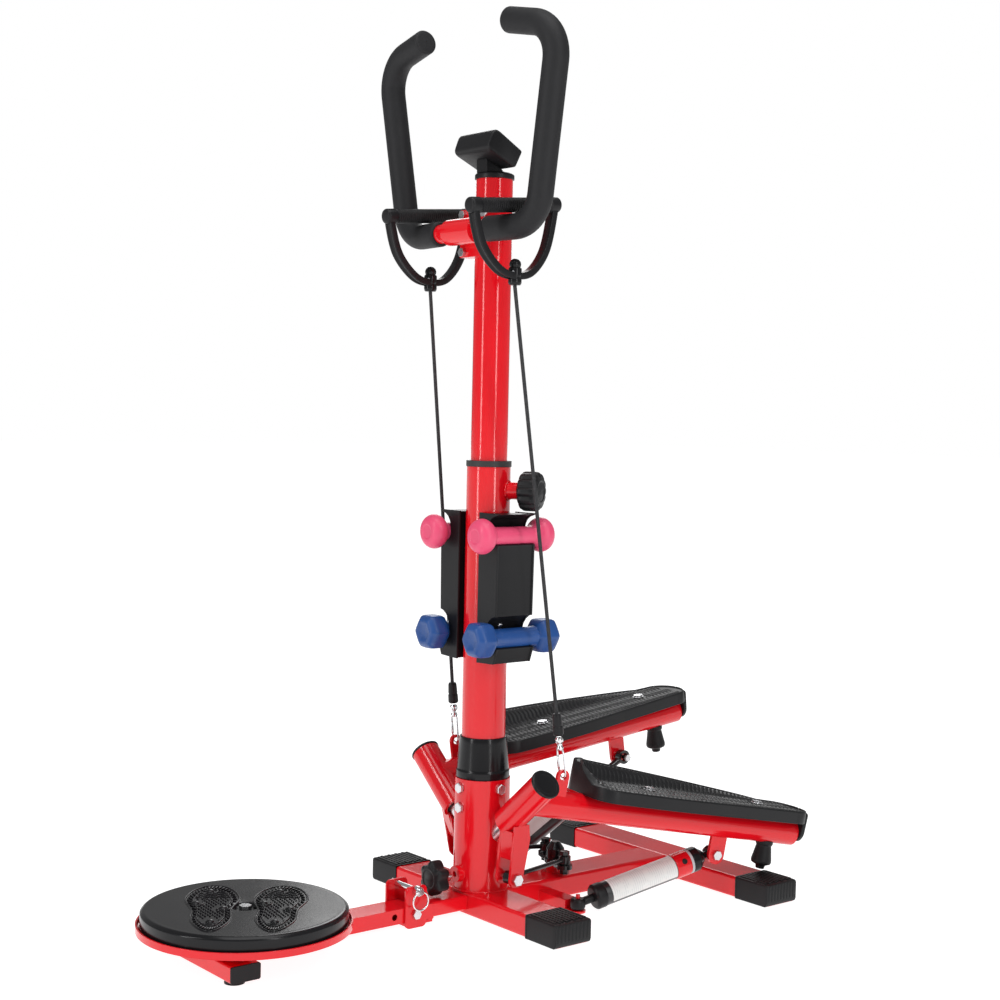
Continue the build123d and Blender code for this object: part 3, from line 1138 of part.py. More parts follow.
# ---------------------------------------------------------------- elastic cords
CORD_ROUTES = {}
for side, way, eye in (("right", 1, Vector(EYE_RIGHT)), ("left", -1, Vector(EYE_LEFT))):
    top = Vector(way * CORD_TOP[0], CORD_TOP[1], CORD_TOP[2])
    run = (top - eye).normalized()
    cord_foot = eye + run * (HOOK_LENGTH + SWIVEL_LENGTH + FERRULE_LENGTH)
    CORD_ROUTES[side] = (top, cord_foot)
    with BuildPart() as cord:
        with BuildSketch(Plane(origin=cord_foot, z_dir=run)):
            Circle(CORD_R)
        extrude(amount=(top - cord_foot).length)
        # trimmed by the socket's flat underside
        with BuildSketch(upright(top.X, top.Y, CORD_TOP[2])):
            Circle(20)
        extrude(amount=10, mode=Mode.SUBTRACT)
    save(cord.part, f"cord_{side}")

    # snap hook: a long wire loop, a swivel and the ferrule that grips the cord
    across = run.cross(Vector(1, 0, 0)).normalized()
    loop_plane = Plane(origin=eye + run * (HOOK_LENGTH / 2 - 3), x_dir=run, z_dir=across)
    with BuildPart() as snap_hook:
        with BuildSketch(loop_plane):
            SlotOverall(HOOK_LENGTH + 2, 15)
            SlotOverall(HOOK_LENGTH - 3.4, 9.6, mode=Mode.SUBTRACT)
        extrude(amount=1.3, both=True)
        with BuildSketch(Plane(origin=eye + run * (HOOK_LENGTH - 4), z_dir=run)):
            Circle(5)
        extrude(amount=SWIVEL_LENGTH + 4)
        with BuildSketch(Plane(origin=eye + run * (HOOK_LENGTH + SWIVEL_LENGTH), z_dir=run)):
            Circle(7.2)
        extrude(amount=FERRULE_LENGTH, taper=3)
    save(snap_hook.part, f"snap_hook_{side}")

for side, (top, cord_foot) in CORD_ROUTES.items():
    print(f"cord_{side}: straight, length {(top - cord_foot).length:.1f} mm")
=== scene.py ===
"""Twist stepper: the looks.  Metres, +Z up, the floor at z = 0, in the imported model's own frame."""
import json
from math import atan2, cos, hypot, pi, radians, sin, sqrt

import bmesh
import bpy
from mathutils import Matrix, Vector


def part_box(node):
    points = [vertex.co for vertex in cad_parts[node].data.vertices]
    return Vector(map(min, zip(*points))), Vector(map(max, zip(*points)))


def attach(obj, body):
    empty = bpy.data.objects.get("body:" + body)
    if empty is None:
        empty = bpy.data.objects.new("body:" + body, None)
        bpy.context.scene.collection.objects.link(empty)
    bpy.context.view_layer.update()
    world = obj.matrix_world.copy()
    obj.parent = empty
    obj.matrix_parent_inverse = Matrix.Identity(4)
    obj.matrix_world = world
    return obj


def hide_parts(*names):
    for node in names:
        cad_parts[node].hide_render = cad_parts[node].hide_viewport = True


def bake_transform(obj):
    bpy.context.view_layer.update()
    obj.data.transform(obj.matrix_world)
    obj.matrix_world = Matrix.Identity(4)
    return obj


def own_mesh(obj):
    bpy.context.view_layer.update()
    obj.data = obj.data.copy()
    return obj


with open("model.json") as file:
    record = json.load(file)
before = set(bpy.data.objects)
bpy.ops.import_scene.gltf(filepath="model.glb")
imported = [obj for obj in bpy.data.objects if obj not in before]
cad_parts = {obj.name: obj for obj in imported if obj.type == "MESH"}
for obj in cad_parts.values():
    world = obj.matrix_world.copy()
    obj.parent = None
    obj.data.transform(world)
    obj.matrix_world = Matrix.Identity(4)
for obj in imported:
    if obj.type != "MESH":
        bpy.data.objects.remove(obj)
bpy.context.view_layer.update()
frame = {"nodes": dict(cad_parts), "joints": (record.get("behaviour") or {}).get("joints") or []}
JOINTS = {joint["name"]: joint for joint in frame["joints"]}

# ---------------------------------------------------------------- driving dimensions
# Camera
CAMERA_PLACE = (1.80687, -1.40851, 0.67746)
CAMERA_AZIMUTH, CAMERA_ELEVATION, CAMERA_ROLL = radians(51.046), radians(2.802), radians(1.184)
CAMERA_LENS, SENSOR = 60.99, 36.0

# Elastic cords, as in the model: handle's socket, ferrule's top, eye on the arm
CORD_DIAMETER = 0.005
CORD_TOP = {"right": Vector((0.0922, -0.005, 0.849)), "left": Vector((-0.0922, -0.005, 0.849))}
CORD_EYE = {"right": Vector((0.1177, 0.0747, 0.1992)), "left": Vector((-0.1072, 0.066, 0.2117))}
HOOK_LENGTH, SWIVEL_LENGTH, FERRULE_LENGTH = 0.042, 0.014, 0.030
POST_CENTRE_Y, POST_TRAVEL = 0.0315, 0.2

# Pedal arm, in its own frame: x outwards, y towards the heel, z away from the floor
ARM_HEADING, ARM_DROP = radians(12.0), radians(10.7)
ARM_START = Vector((0.097, 0.0315, 0.1674))
ARM_RADIUS = 0.019
TREAD_H, SKIRT_H, PEDAL_SKIN = 0.036, 0.018, 0.003
TOE_S, HEEL_S, PEDAL_HALF, HEEL_HALF = 0.080, 0.448, 0.058, 0.036
WALL_H, WALL_END_S = 0.024, 0.398
PEDAL_BOLTS = (0.187, 0.372)
BUMPER_S, BUMPER_LENGTH = 0.398, 0.0385
PEDAL_LIFT = radians(24.0)

# Handlebar
BAR_Y, BAR_Z, BAR_RADIUS, FOAM_RADIUS, BAR_BEND = -0.0195, 0.924, 0.013, 0.017, 0.046
BAR_KINK = Vector((0.045, BAR_Y, BAR_Z))
BAR_CORNER = Vector((0.1395, -0.009, BAR_Z))
BAR_SHOULDER = Vector((0.183, -0.0155, 1.169))
BAR_TIP = Vector((0.0907, -0.022, 1.188))
FOAM_START_X, FOAM_CAP = 0.0495, 0.0015

# Console's side view (y, z), from the top at the back round to the bottom at the back
CONSOLE_HALF = 0.0385
CONSOLE_CORNERS = [Vector((-0.0005, 1.0619)), Vector((0.049, 1.034)), Vector((0.037, 1.0106)),
                   Vector((-0.0119, 1.0318))]

# Pull handles
HANDLE_X, HANDLE_FRONT, HANDLE_BACK = 0.0922, -0.074, 0.056
HANDLE_FRONT_Z, HANDLE_BACK_Z = 0.9465, 0.9585
BOW_LOW_Y, BOW_LOW_Z, BOW_WAIST_Z = -0.005, 0.856, 0.896

# Twist disc
DISC_AXIS = Vector(JOINTS["twist_disc_spin"]["pos_m"])
DISC_RADIUS, DISC_TOP, TRAY_TOP = 0.129, 0.066, 0.048

# Racks and dumbbells
BELL_X, SMALL_BELL_Z, LARGE_BELL_Z = 0.053, 0.519, 0.381
SMALL_HANDLE_R, LARGE_HANDLE_R = 0.012, 0.0133
RACK_HALF, RACK_SKIN, RACK_BACK, RACK_BOTTOM, RACK_TOP = 0.0325, 0.003, 0.022, 0.346, 0.549


# ---------------------------------------------------------------- camera
def turned_camera():
    """The camera's axes, from its azimuth, elevation and roll."""
    back = Vector((sin(CAMERA_AZIMUTH) * cos(CAMERA_ELEVATION),
                   -cos(CAMERA_AZIMUTH) * cos(CAMERA_ELEVATION), sin(CAMERA_ELEVATION)))
    right = (-back).cross(Vector((0, 0, 1))).normalized()
    up = right.cross(-back)
    rolled_right = right * cos(CAMERA_ROLL) + up * sin(CAMERA_ROLL)
    rolled_up = up * cos(CAMERA_ROLL) - right * sin(CAMERA_ROLL)
    return Matrix((rolled_right, rolled_up, back)).transposed().to_4x4()


camera_data = bpy.data.cameras.new("camera")
camera_data.lens, camera_data.sensor_width = CAMERA_LENS, SENSOR
camera_data.clip_end = 50
camera = bpy.data.objects.new("camera", camera_data)
camera.matrix_world = Matrix.Translation(CAMERA_PLACE) @ turned_camera()
bpy.context.scene.collection.objects.link(camera)
bpy.context.scene.camera = camera


# ---------------------------------------------------------------- shader sums
class Wire:
    """A node's output that can be added, multiplied and compared like a number."""

    def __init__(self, board, socket):
        self.board, self.socket = board, socket

    def sum(self, operation, *others):
        """One Math node over this output and others."""
        return self.board.add("ShaderNodeMath", {"operation": operation}, [self, *others])

    def __add__(self, other):
        return self.sum("ADD", other)

    __radd__ = __add__

    def __sub__(self, other):
        return self.sum("SUBTRACT", other)

    def __rsub__(self, other):
        return self.board.add("ShaderNodeMath", {"operation": "SUBTRACT"}, [other, self])

    def __mul__(self, other):
        return self.sum("MULTIPLY", other)

    __rmul__ = __mul__

    def __truediv__(self, other):
        return self.sum("DIVIDE", other)

    def __pow__(self, other):
        return self.sum("POWER", other)

    def __gt__(self, other):
        return self.sum("GREATER_THAN", other)

    def __lt__(self, other):
        return self.sum("LESS_THAN", other)

    def wave(self):
        """The sine of this value."""
        return self.sum("SINE")

    def size(self):
        """This value without its sign."""
        return self.sum("ABSOLUTE")

    def held(self):
        """This value kept between 0 and 1."""
        return self.board.add("ShaderNodeClamp", {}, [self])


class Board:
    """One material's nodes."""

    def __init__(self, name):
        self.material = bpy.data.materials.new(name)
        self.material.use_nodes = True
        self.tree = self.material.node_tree
        self.shader = self.tree.nodes["Principled BSDF"]

    def add(self, kind, settings, sockets, output=0):
        """One node: its settings first, then its sockets, by position or by name."""
        node = self.tree.nodes.new(kind)
        for key, value in settings.items():
            setattr(node, key, value)
        pairs = sockets.items() if isinstance(sockets, dict) else enumerate(sockets)
        for key, value in pairs:
            self.plug(value, node.inputs[key])
        return Wire(self, node.outputs[output])

    def plug(self, value, socket):
        """A link, a colour or a number into a socket."""
        if isinstance(value, Wire):
            self.tree.links.new(value.socket, socket)
        elif isinstance(value, tuple) and len(value) == 3 and socket.type == "RGBA":
            socket.default_value = (*value, 1)
        else:
            socket.default_value = value

    def place(self):
        """Where on the object, in metres at rest."""
        return self.add("ShaderNodeTexCoord", {}, {}, "Object")

    def axes(self):
        """The three coordinates, apart."""
        split = self.add("ShaderNodeSeparateXYZ", {}, [self.place()])
        node = split.socket.node
        return [Wire(self, node.outputs[i]) for i in range(3)]

    def noise(self, scale, detail=3.0, rough=0.5, stretch=None):
        """Cloudy noise over the object, 0 to 1; stretch squeezes it along the axes."""
        spot = self.place()
        if stretch:
            spot = self.add("ShaderNodeMapping", {}, {"Vector": spot, "Scale": stretch})
        return self.add("ShaderNodeTexNoise", {}, {"Vector": spot, "Scale": scale, "Detail": detail,
                                                   "Roughness": rough})

    def cells(self, scale, feature="F1"):
        """Distance to the nearest of many scattered points."""
        return self.add("ShaderNodeTexVoronoi", {"feature": feature},
                        {"Vector": self.place(), "Scale": scale})

    def blend(self, share, first, second):
        """A colour between two, by a share."""
        return self.add("ShaderNodeMix", {"data_type": "RGBA"}, {0: share, 6: first, 7: second}, 2)

    def relief(self, height, depth, edge=0.0):
        """Bump from a height of 0 to 1 that is depth metres tall, over edges rounded by edge metres."""
        sockets = {"Height": height, "Distance": depth, "Strength": 1.0}
        if edge:
            sockets["Normal"] = self.add("ShaderNodeBevel", {"samples": 4}, {"Radius": edge})
        return self.add("ShaderNodeBump", {}, sockets)

    def finish(self, colour=None, roughness=None, normal=None, **uniform):
        """Feed the shader; uniform values go straight on its own sockets."""
        for name, value in (("Base Color", colour), ("Roughness", roughness), ("Normal", normal)):
            if value is not None:
                self.plug(value, self.shader.inputs[name])
        for name, value in uniform.items():
            self.plug(value, self.shader.inputs[name.replace("_", " ")])
        return self.material


# ---------------------------------------------------------------- materials
def powder_coat(name, bright, deep):
    """Glossy powder coat: a faint orange peel, thinner on the edges, with a little dust."""
    board = Board(name)
    peel = board.noise(900.0, 2.0)
    cloud = board.noise(9.0, 4.0)
    dust = ((board.noise(60.0, 6.0, 0.7) - 0.56) * 4.0).held() * 0.25
    colour = board.blend(cloud, deep, bright)
    return board.finish(board.blend(dust * 0.12, colour, (0.55, 0.2, 0.2)), 0.10 + dust * 0.3 + cloud * 0.04,
                        board.relief(peel, 0.00004, 0.0009), Specular_IOR_Level=0.5)


def plated_steel(name, tone, rough):
    """Bright plating with fine drawn lines and a faint stain."""
    board = Board(name)
    lines = board.noise(300.0, 3.0, 0.6, (1.0, 1.0, 0.08))
    stain = board.noise(40.0, 4.0)
    dark = tuple(0.72 * value for value in tone)
    return board.finish(board.blend(stain, tone, dark), rough + lines * 0.14,
                        board.relief(lines, 0.00003, 0.0005), Metallic=1.0)


def moulded_plastic(name, tone, rough, grain=1400.0, depth=0.00005, edge=0.0008):
    """Black moulding with a spark-eroded grain, rubbed smoother in patches."""
    board = Board(name)
    grit = board.noise(grain, 2.0, 0.6)
    rubbed = board.noise(22.0, 4.0, 0.6)
    pale = tuple(value * 1.6 + 0.003 for value in tone)
    return board.finish(board.blend(rubbed * 0.7, tone, pale), rough + rubbed * 0.16 - 0.08,
                        board.relief(grit, depth, edge), Specular_IOR_Level=0.24)


def rubber(name, tone, rough=0.62):
    """Matte rubber with a fine bloom in the hollows."""
    board = Board(name)
    grit = board.noise(800.0, 3.0, 0.7)
    bloom = ((board.noise(35.0, 5.0, 0.6) - 0.45) * 2.5).held()
    pale = tuple(value * 2.0 + 0.006 for value in tone)
    return board.finish(board.blend(bloom * 0.5, tone, pale), rough + bloom * 0.14,
                        board.relief(grit, 0.00008, 0.0007), Specular_IOR_Level=0.26)


def closed_cell_foam():
    """Dark foam sleeve: small closed cells under a slightly rubbed skin."""
    board = Board("foam")
    cells = board.cells(900.0)
    pores = board.noise(2600.0, 2.0, 0.6)
    rub = board.noise(16.0, 4.0, 0.6)
    height = cells * 0.6 + pores * 0.4
    tone = board.blend(rub, (0.007, 0.007, 0.008), (0.016, 0.016, 0.018))
    flecked = board.blend(((pores - 0.6) * 4.0).held() * 0.3, tone, (0.045, 0.046, 0.05))
    return board.finish(flecked, 0.5 + rub * 0.14, board.relief(height, 0.00018), Specular_IOR_Level=0.28)


def dipped_vinyl(name, tone, deep):
    """Thick dipped vinyl: soft sheen, a pebbled skin and scuffs."""
    board = Board(name)
    pebble = board.noise(520.0, 3.0, 0.55)
    cloud = board.noise(28.0, 4.0)
    scuff = ((board.noise(120.0, 5.0, 0.75) - 0.6) * 5.0).held()
    colour = board.blend(cloud, deep, tone)
    pale = tuple(0.55 * value + 0.35 for value in tone)
    return board.finish(board.blend(scuff * 0.18, colour, pale), 0.42 + scuff * 0.2 + cloud * 0.08,
                        board.relief(pebble, 0.00012), Coat_Weight=0.15, Subsurface_Weight=0.0)


def woven_sleeve():
    """Braided black sleeve of the elastic cord: crossing yarns with tiny pale ticks."""
    board = Board("woven_sleeve")
    x, y, z = board.axes()
    one = (z * 3400.0 + (x - y) * 2600.0).wave()
    two = (z * 3400.0 - (x - y) * 2600.0).wave()
    yarn = (one * two * 0.5 + 0.5).held()
    tick = ((yarn - 0.86) * 7.0).held() * 0.3
    tone = board.blend(yarn, (0.006, 0.006, 0.007), (0.035, 0.035, 0.038))
    return board.finish(board.blend(tick, tone, (0.12, 0.12, 0.13)), 0.62 + yarn * 0.15,
                        board.relief(yarn, 0.0003))


def cylinder_jacket(label_start, label_end, run, foot, up):
    """The cylinder's body: black enamel with a wrapped white label that carries faint ruled lines."""
    board = Board("cylinder_jacket")
    spot = board.place()
    along = board.add("ShaderNodeVectorMath", {"operation": "DOT_PRODUCT"}, [spot, run], "Value")
    height = board.add("ShaderNodeVectorMath", {"operation": "DOT_PRODUCT"}, [spot, tuple(up)], "Value")
    label = (along > label_start) * (along < label_end) * (height > foot.dot(up) - 0.004)
    scratch = ((board.noise(180.0, 5.0, 0.7) - 0.6) * 4.0).held()
    ruled = ((along * 1900.0).wave() > 0.82) * (board.noise(70.0, 2.0) > 0.45)
    paper = board.blend(ruled * 0.45, (0.80, 0.80, 0.78), (0.42, 0.43, 0.46))
    tone = board.blend(label, (0.014, 0.014, 0.016), paper)
    return board.finish(board.blend(scratch * 0.15, tone, (0.3, 0.3, 0.3)),
                        0.3 + scratch * 0.2 + label * 0.12,
                        board.relief(board.noise(700.0, 2.0), 0.00003), Coat_Weight=0.3)


def display_glass():
    """The console's small liquid-crystal window: grey-green, with faint unlit segments."""
    board = Board("display_glass")
    x, _, z = board.axes()
    bars = ((x * 900.0).wave() * (z * 700.0).wave() > 0.45)
    tone = board.blend(bars * 0.35, (0.20, 0.23, 0.20), (0.12, 0.14, 0.12))
    haze = board.noise(90.0, 3.0)
    return board.finish(tone, 0.12 + haze * 0.1, board.relief(haze, 0.00002), Coat_Weight=1.0)


def floor_finish():
    """Plain pale floor with the faintest mottling."""
    board = Board("floor_finish")
    cloud = board.noise(3.0, 3.0)
    return board.finish(board.blend(cloud, (0.42, 0.42, 0.42), (0.40, 0.40, 0.405)), 0.75 + cloud * 0.05,
                        Emission_Color=(1.0, 1.0, 1.0), Emission_Strength=0.93, Specular_IOR_Level=0.1)


RED = powder_coat("red_powder_coat", (0.80, 0.006, 0.014), (0.68, 0.003, 0.009))
ENAMEL = powder_coat("black_enamel", (0.010, 0.010, 0.011), (0.006, 0.006, 0.007))
STEEL = plated_steel("plated_steel", (0.78, 0.78, 0.80), 0.2)
BRIGHT = plated_steel("bright_wire", (0.86, 0.86, 0.88), 0.1)
PLASTIC = moulded_plastic("black_moulding", (0.007, 0.007, 0.008), 0.38)
GLOSS = moulded_plastic("gloss_moulding", (0.006, 0.006, 0.007), 0.2, 600.0, 0.00003)
TREAD = moulded_plastic("tread_moulding", (0.009, 0.009, 0.010), 0.42, 1100.0, 0.0001)
DARK_GREY = moulded_plastic("console_moulding", (0.008, 0.008, 0.009), 0.4)
PALE_TRIM = moulded_plastic("pale_trim", (0.42, 0.43, 0.45), 0.4)
NYLON = moulded_plastic("nylon", (0.03, 0.03, 0.03), 0.45)
RUBBER = rubber("black_rubber", (0.007, 0.007, 0.008), 0.5)
FOAM = closed_cell_foam()
PINK = dipped_vinyl("pink_vinyl", (0.84, 0.085, 0.20), (0.72, 0.05, 0.14))
BLUE = dipped_vinyl("blue_vinyl", (0.006, 0.075, 0.30), (0.004, 0.045, 0.20))
SLEEVE = woven_sleeve()
GLASS = display_glass()
GREEN_BOARD = moulded_plastic("circuit_board", (0.02, 0.16, 0.06), 0.4)

NODE_FINISHES = {
    RED: ("front_cross_tube", "rear_cross_tube", "spine_tube", "post_socket", "lower_post", "twister_stub",
          "upper_post", "handlebar", "handlebar_clamp", "twister_arm", "twist_tray", "pedal_arm_right",
          "pedal_arm_left"),
    STEEL: ("hub_shafts", "frame_bolts", "clamp_bolts", "disc_bolt", "pedal_bolts_right", "pedal_bolts_left",
            "disc_bearing"),
    NYLON: ("hub_bushes", "post_bushing"),
    RUBBER: ("stub_foot", "twister_feet"),
    PLASTIC: ("console_mount",),
    ENAMEL: ("rocker", "tie_rod_right", "tie_rod_left", "cylinder_rod_right", "cylinder_rod_left"),
    BRIGHT: ("pull_pin",),
    GREEN_BOARD: ("console_board",),
}
for material, nodes in NODE_FINISHES.items():
    for node in nodes:
        shown = frame["nodes"][node]
        shown.data.materials.clear()
        shown.data.materials.append(material)


# ---------------------------------------------------------------- mesh tools
def piece(name, verts, faces, material, body, node=None, crease=38.0):
    """One mesh piece that rides on a body and may stand for a CAD node."""
    mesh = bpy.data.meshes.new(name)
    mesh.from_pydata([tuple(v) for v in verts], [], faces)
    tidy = bmesh.new()
    tidy.from_mesh(mesh)
    bmesh.ops.remove_doubles(tidy, verts=tidy.verts, dist=2e-6)
    bmesh.ops.recalc_face_normals(tidy, faces=tidy.faces)
    tidy.to_mesh(mesh)
    tidy.free()
    mesh.polygons.foreach_set("use_smooth", [True] * len(mesh.polygons))
    mesh.set_sharp_from_angle(angle=radians(crease))
    mesh.materials.append(material)
    made = bpy.data.objects.new(name, mesh)
    bpy.context.scene.collection.objects.link(made)
    if body:
        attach(made, body)
    if node:
        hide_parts(node)
    return made


class Shape:
    """Points and faces gathered into one mesh."""

    def __init__(self):
        self.verts, self.faces = [], []

    def loft(self, rings, closed=True, caps=True, loop=False):
        """Skin a run of rings that have the same number of points."""
        start, count = len(self.verts), len(rings[0])
        for ring in rings:
            self.verts.extend(ring)
        spans = count if closed else count - 1
        for i in range(len(rings) if loop else len(rings) - 1):
            low, high = start + i * count, start + (i + 1) % len(rings) * count
            for j in range(spans):
                k = (j + 1) % count
                self.faces.append((low + j, low + k, high + k, high + j))
        if caps and not loop:
            self.faces.append(tuple(range(start, start + count)))
            last = start + (len(rings) - 1) * count
            self.faces.append(tuple(range(last, last + count)))
        return self

    def moved(self, matrix):
        """The same shape somewhere else."""
        self.verts = [matrix @ Vector(v) for v in self.verts]
        return self

    def join(self, other):
        """Add another shape's mesh."""
        start = len(self.verts)
        self.verts.extend(other.verts)
        self.faces.extend(tuple(start + i for i in face) for face in other.faces)
        return self


def look_along(origin, z_dir, x_hint=Vector((0, 0, 1))):
    """A frame at a point with +Z along a direction and +X near a hint."""
    z_axis = Vector(z_dir).normalized()
    x_axis = Vector(x_hint) - z_axis * z_axis.dot(Vector(x_hint))
    if x_axis.length < 1e-6:
        x_axis = Vector((1, 0, 0)) - z_axis * z_axis.x
    x_axis.normalize()
    y_axis = z_axis.cross(x_axis)
    basis = Matrix((x_axis, y_axis, z_axis)).transposed().to_4x4()
    return Matrix.Translation(Vector(origin)) @ basis


def circle(radius, z, count=48, ripple=None):
    """A ring of points round +Z; ripple gives a share of the radius at each angle."""
    points = []
    for i in range(count):
        angle = 2 * pi * i / count
        reach = radius * (ripple(angle) if ripple else 1.0)
        points.append(Vector((reach * cos(angle), reach * sin(angle), z)))
    return points


def lathe(profile, count=48, ripple=None):
    """Turn a profile of (radius, height) round +Z."""
    rings = [circle(max(radius, 1e-5), height, count, ripple) for radius, height in profile]
    return Shape().loft(rings)


def round_corners(profile, radius, steps=4):
    """A profile with every inner corner rounded by a short arc."""
    rounded = [Vector(profile[0])]
    for before, corner, after in zip(profile, profile[1:], profile[2:]):
        before, corner, after = Vector(before), Vector(corner), Vector(after)
        cut = min(radius, (before - corner).length * 0.45, (after - corner).length * 0.45)
        start = corner + (before - corner).normalized() * cut
        end = corner + (after - corner).normalized() * cut
        for i in range(steps + 1):
            t = i / steps
            rounded.append(start * (1 - t) ** 2 + corner * 2 * t * (1 - t) + end * t ** 2)
    rounded.append(Vector(profile[-1]))
    return rounded


def rounded_outline(corners, radius, steps=5):
    """A closed outline with its corners rounded."""
    cycle = [corners[-1], *corners, corners[0]]
    return round_corners(cycle, radius, steps)[1:-1]


def inset(outline, amount):
    """A closed outline moved inwards along its normals."""
    moved, count = [], len(outline)
    area = sum(outline[i].x * outline[(i + 1) % count].y - outline[(i + 1) % count].x * outline[i].y
               for i in range(count))
    way = 1 if area > 0 else -1
    for i, point in enumerate(outline):
        along = (outline[(i + 1) % count] - outline[i - 1]).normalized()
        moved.append(point + Vector((-along.y, along.x)) * amount * way)
    return moved


def slab(outline, low, high, edge, steps=3):
    """A plate of a 2-D outline between two heights, with rounded edges."""
    levels = []
    for i in range(steps + 1):
        angle = pi / 2 * i / steps
        levels.append((edge * (1 - sin(angle)), low + edge * (1 - cos(angle))))
    for i in range(steps + 1):
        angle = pi / 2 * (1 - i / steps)
        levels.append((edge * (1 - sin(angle)), high - edge * (1 - cos(angle))))
    rings = [[Vector((p.x, p.y, z)) for p in inset(outline, step)] for step, z in levels]
    return Shape().loft(rings)


def rectangle(width, depth):
    """The corners of a rectangle about the origin."""
    return [(-width / 2, -depth / 2), (width / 2, -depth / 2), (width / 2, depth / 2),
            (-width / 2, depth / 2)]


def sweep(points, section):
    """Carry rings along a path; section(i) gives 2-D points for the i-th place."""
    tangents = []
    for i in range(len(points)):
        ahead, behind = points[min(i + 1, len(points) - 1)], points[max(i - 1, 0)]
        tangents.append((ahead - behind).normalized())
    side = tangents[0].orthogonal().normalized()
    rings = []
    for i, (point, tangent) in enumerate(zip(points, tangents)):
        side = (side - tangent * side.dot(tangent)).normalized()
        other = tangent.cross(side)
        rings.append([point + side * a + other * b for a, b in section(i)])
    return rings


def round_section(radius, count=32):
    """A circular section as 2-D points."""
    return [(radius * cos(2 * pi * i / count), radius * sin(2 * pi * i / count)) for i in range(count)]


def bent_path(points, bend, step=0.004):
    """A path of straight runs joined by tangent arcs."""
    path = [points[0]]
    for before, corner, after in zip(points, points[1:], points[2:]):
        incoming, outgoing = (corner - before).normalized(), (after - corner).normalized()
        turn = incoming.angle(outgoing)
        cut = bend * sin(turn / 2) / cos(turn / 2)
        start = corner - incoming * cut
        inward = (outgoing - incoming * incoming.dot(outgoing)).normalized()
        centre = start + inward * bend
        arc_steps = max(4, int(bend * turn / step))
        run = start - path[-1]
        for i in range(1, max(2, int(run.length / step))):
            path.append(path[-1] + run / max(2, int(run.length / step)))
        for i in range(arc_steps + 1):
            angle = turn * i / arc_steps
            path.append(centre - inward * bend * cos(angle) + incoming * bend * sin(angle))
    run, start = points[-1] - path[-1], path[-1]
    count = max(2, int(run.length / step))
    path.extend(start + run * i / count for i in range(1, count + 1))
    return path


# ---------------------------------------------------------------- elastic cords
def cord_spline(name, points):
    """The cord's line: a smooth spline with the route's points as its control points."""
    curve = bpy.data.curves.new(name, "CURVE")
    curve.dimensions = "3D"
    spline = curve.splines.new("NURBS")
    spline.points.add(len(points) - 1)
    for control, point in zip(spline.points, points):
        control.co = (*point, 1)
    spline.order_u = 3
    spline.use_endpoint_u = True
    spline.resolution_u = 24
    return curve


def spline_points(curve):
    """Points read along a spline, in order."""
    holder = bpy.data.objects.new("reader", curve)
    bpy.context.scene.collection.objects.link(holder)
    bpy.context.view_layer.update()
    mesh = bpy.data.meshes.new_from_object(holder.evaluated_get(bpy.context.evaluated_depsgraph_get()))
    points = [v.co.copy() for v in mesh.vertices]
    bpy.data.objects.remove(holder)
    bpy.data.meshes.remove(mesh)
    return points


CORD_FOOT = {}
for side in ("right", "left"):
    top, eye = CORD_TOP[side], CORD_EYE[side]
    CORD_FOOT[side] = eye + (top - eye).normalized() * (HOOK_LENGTH + SWIVEL_LENGTH + FERRULE_LENGTH)


def elastic_cord(side):
    """The cord in two straight halves, from the handle's socket down to the ferrule's top; the upper half rides on the
    frame.
    """
    top, foot = CORD_TOP[side], CORD_FOOT[side]
    middle = foot.lerp(top, 0.45)
    section = round_section(CORD_DIAMETER / 2, 16)
    for label, start, end in (("upper", top, middle), ("lower", middle, foot)):
        route = [start.lerp(end, i / 3) for i in range(4)]
        path = spline_points(cord_spline(f"cord_{side}_{label}_line", route))
        shape = Shape().loft(sweep(path, lambda i: section))
        made = piece(f"cord_{side}_{label}", shape.verts, shape.faces, SLEEVE, None, f"cord_{side}")
        (end - start).length
        if label == "upper":
            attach(made, "frame")
            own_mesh(made)
        else:
            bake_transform(made)


for side in ("right", "left"):
    elastic_cord(side)

# ---------------------------------------------------------------- the sides' own frames
ARM_OUT = Vector((cos(ARM_HEADING), -sin(ARM_HEADING), 0))
ARM_DIR = Vector((sin(ARM_HEADING) * cos(ARM_DROP), cos(ARM_HEADING) * cos(ARM_DROP), -sin(ARM_DROP)))
ARM_UP = ARM_OUT.cross(ARM_DIR)
ARM_FRAME = Matrix.Translation(ARM_START) @ Matrix((ARM_OUT, ARM_DIR, ARM_UP)).transposed().to_4x4()
HUB_JOINT = JOINTS["pedal_right_hinge"]
HUB_TOP, HUB_AXIS = Vector(HUB_JOINT["pos_m"]), Vector(HUB_JOINT["axis"]).normalized()
MIRROR = Matrix.Scale(-1, 4, (1, 0, 0))
LEFT_TOP, LEFT_AXIS = MIRROR @ HUB_TOP, Vector((-HUB_AXIS.x, 0, HUB_AXIS.z))
LIFTED = (Matrix.Translation(LEFT_TOP) @ Matrix.Rotation(-PEDAL_LIFT, 4, LEFT_AXIS)
          @ Matrix.Translation(-LEFT_TOP))
SIDES = {"right": Matrix.Identity(4), "left": LIFTED @ MIRROR}


def arm_piece(name, shape, material, side, node=None, body=None, crease=38.0):
    """A piece given in the right-hand arm's frame, placed on either side."""
    shape.moved(SIDES[side] @ ARM_FRAME)
    return piece(f"{name}_{side}", shape.verts, shape.faces, material, body or f"pedal_{side}", node,
                 crease)


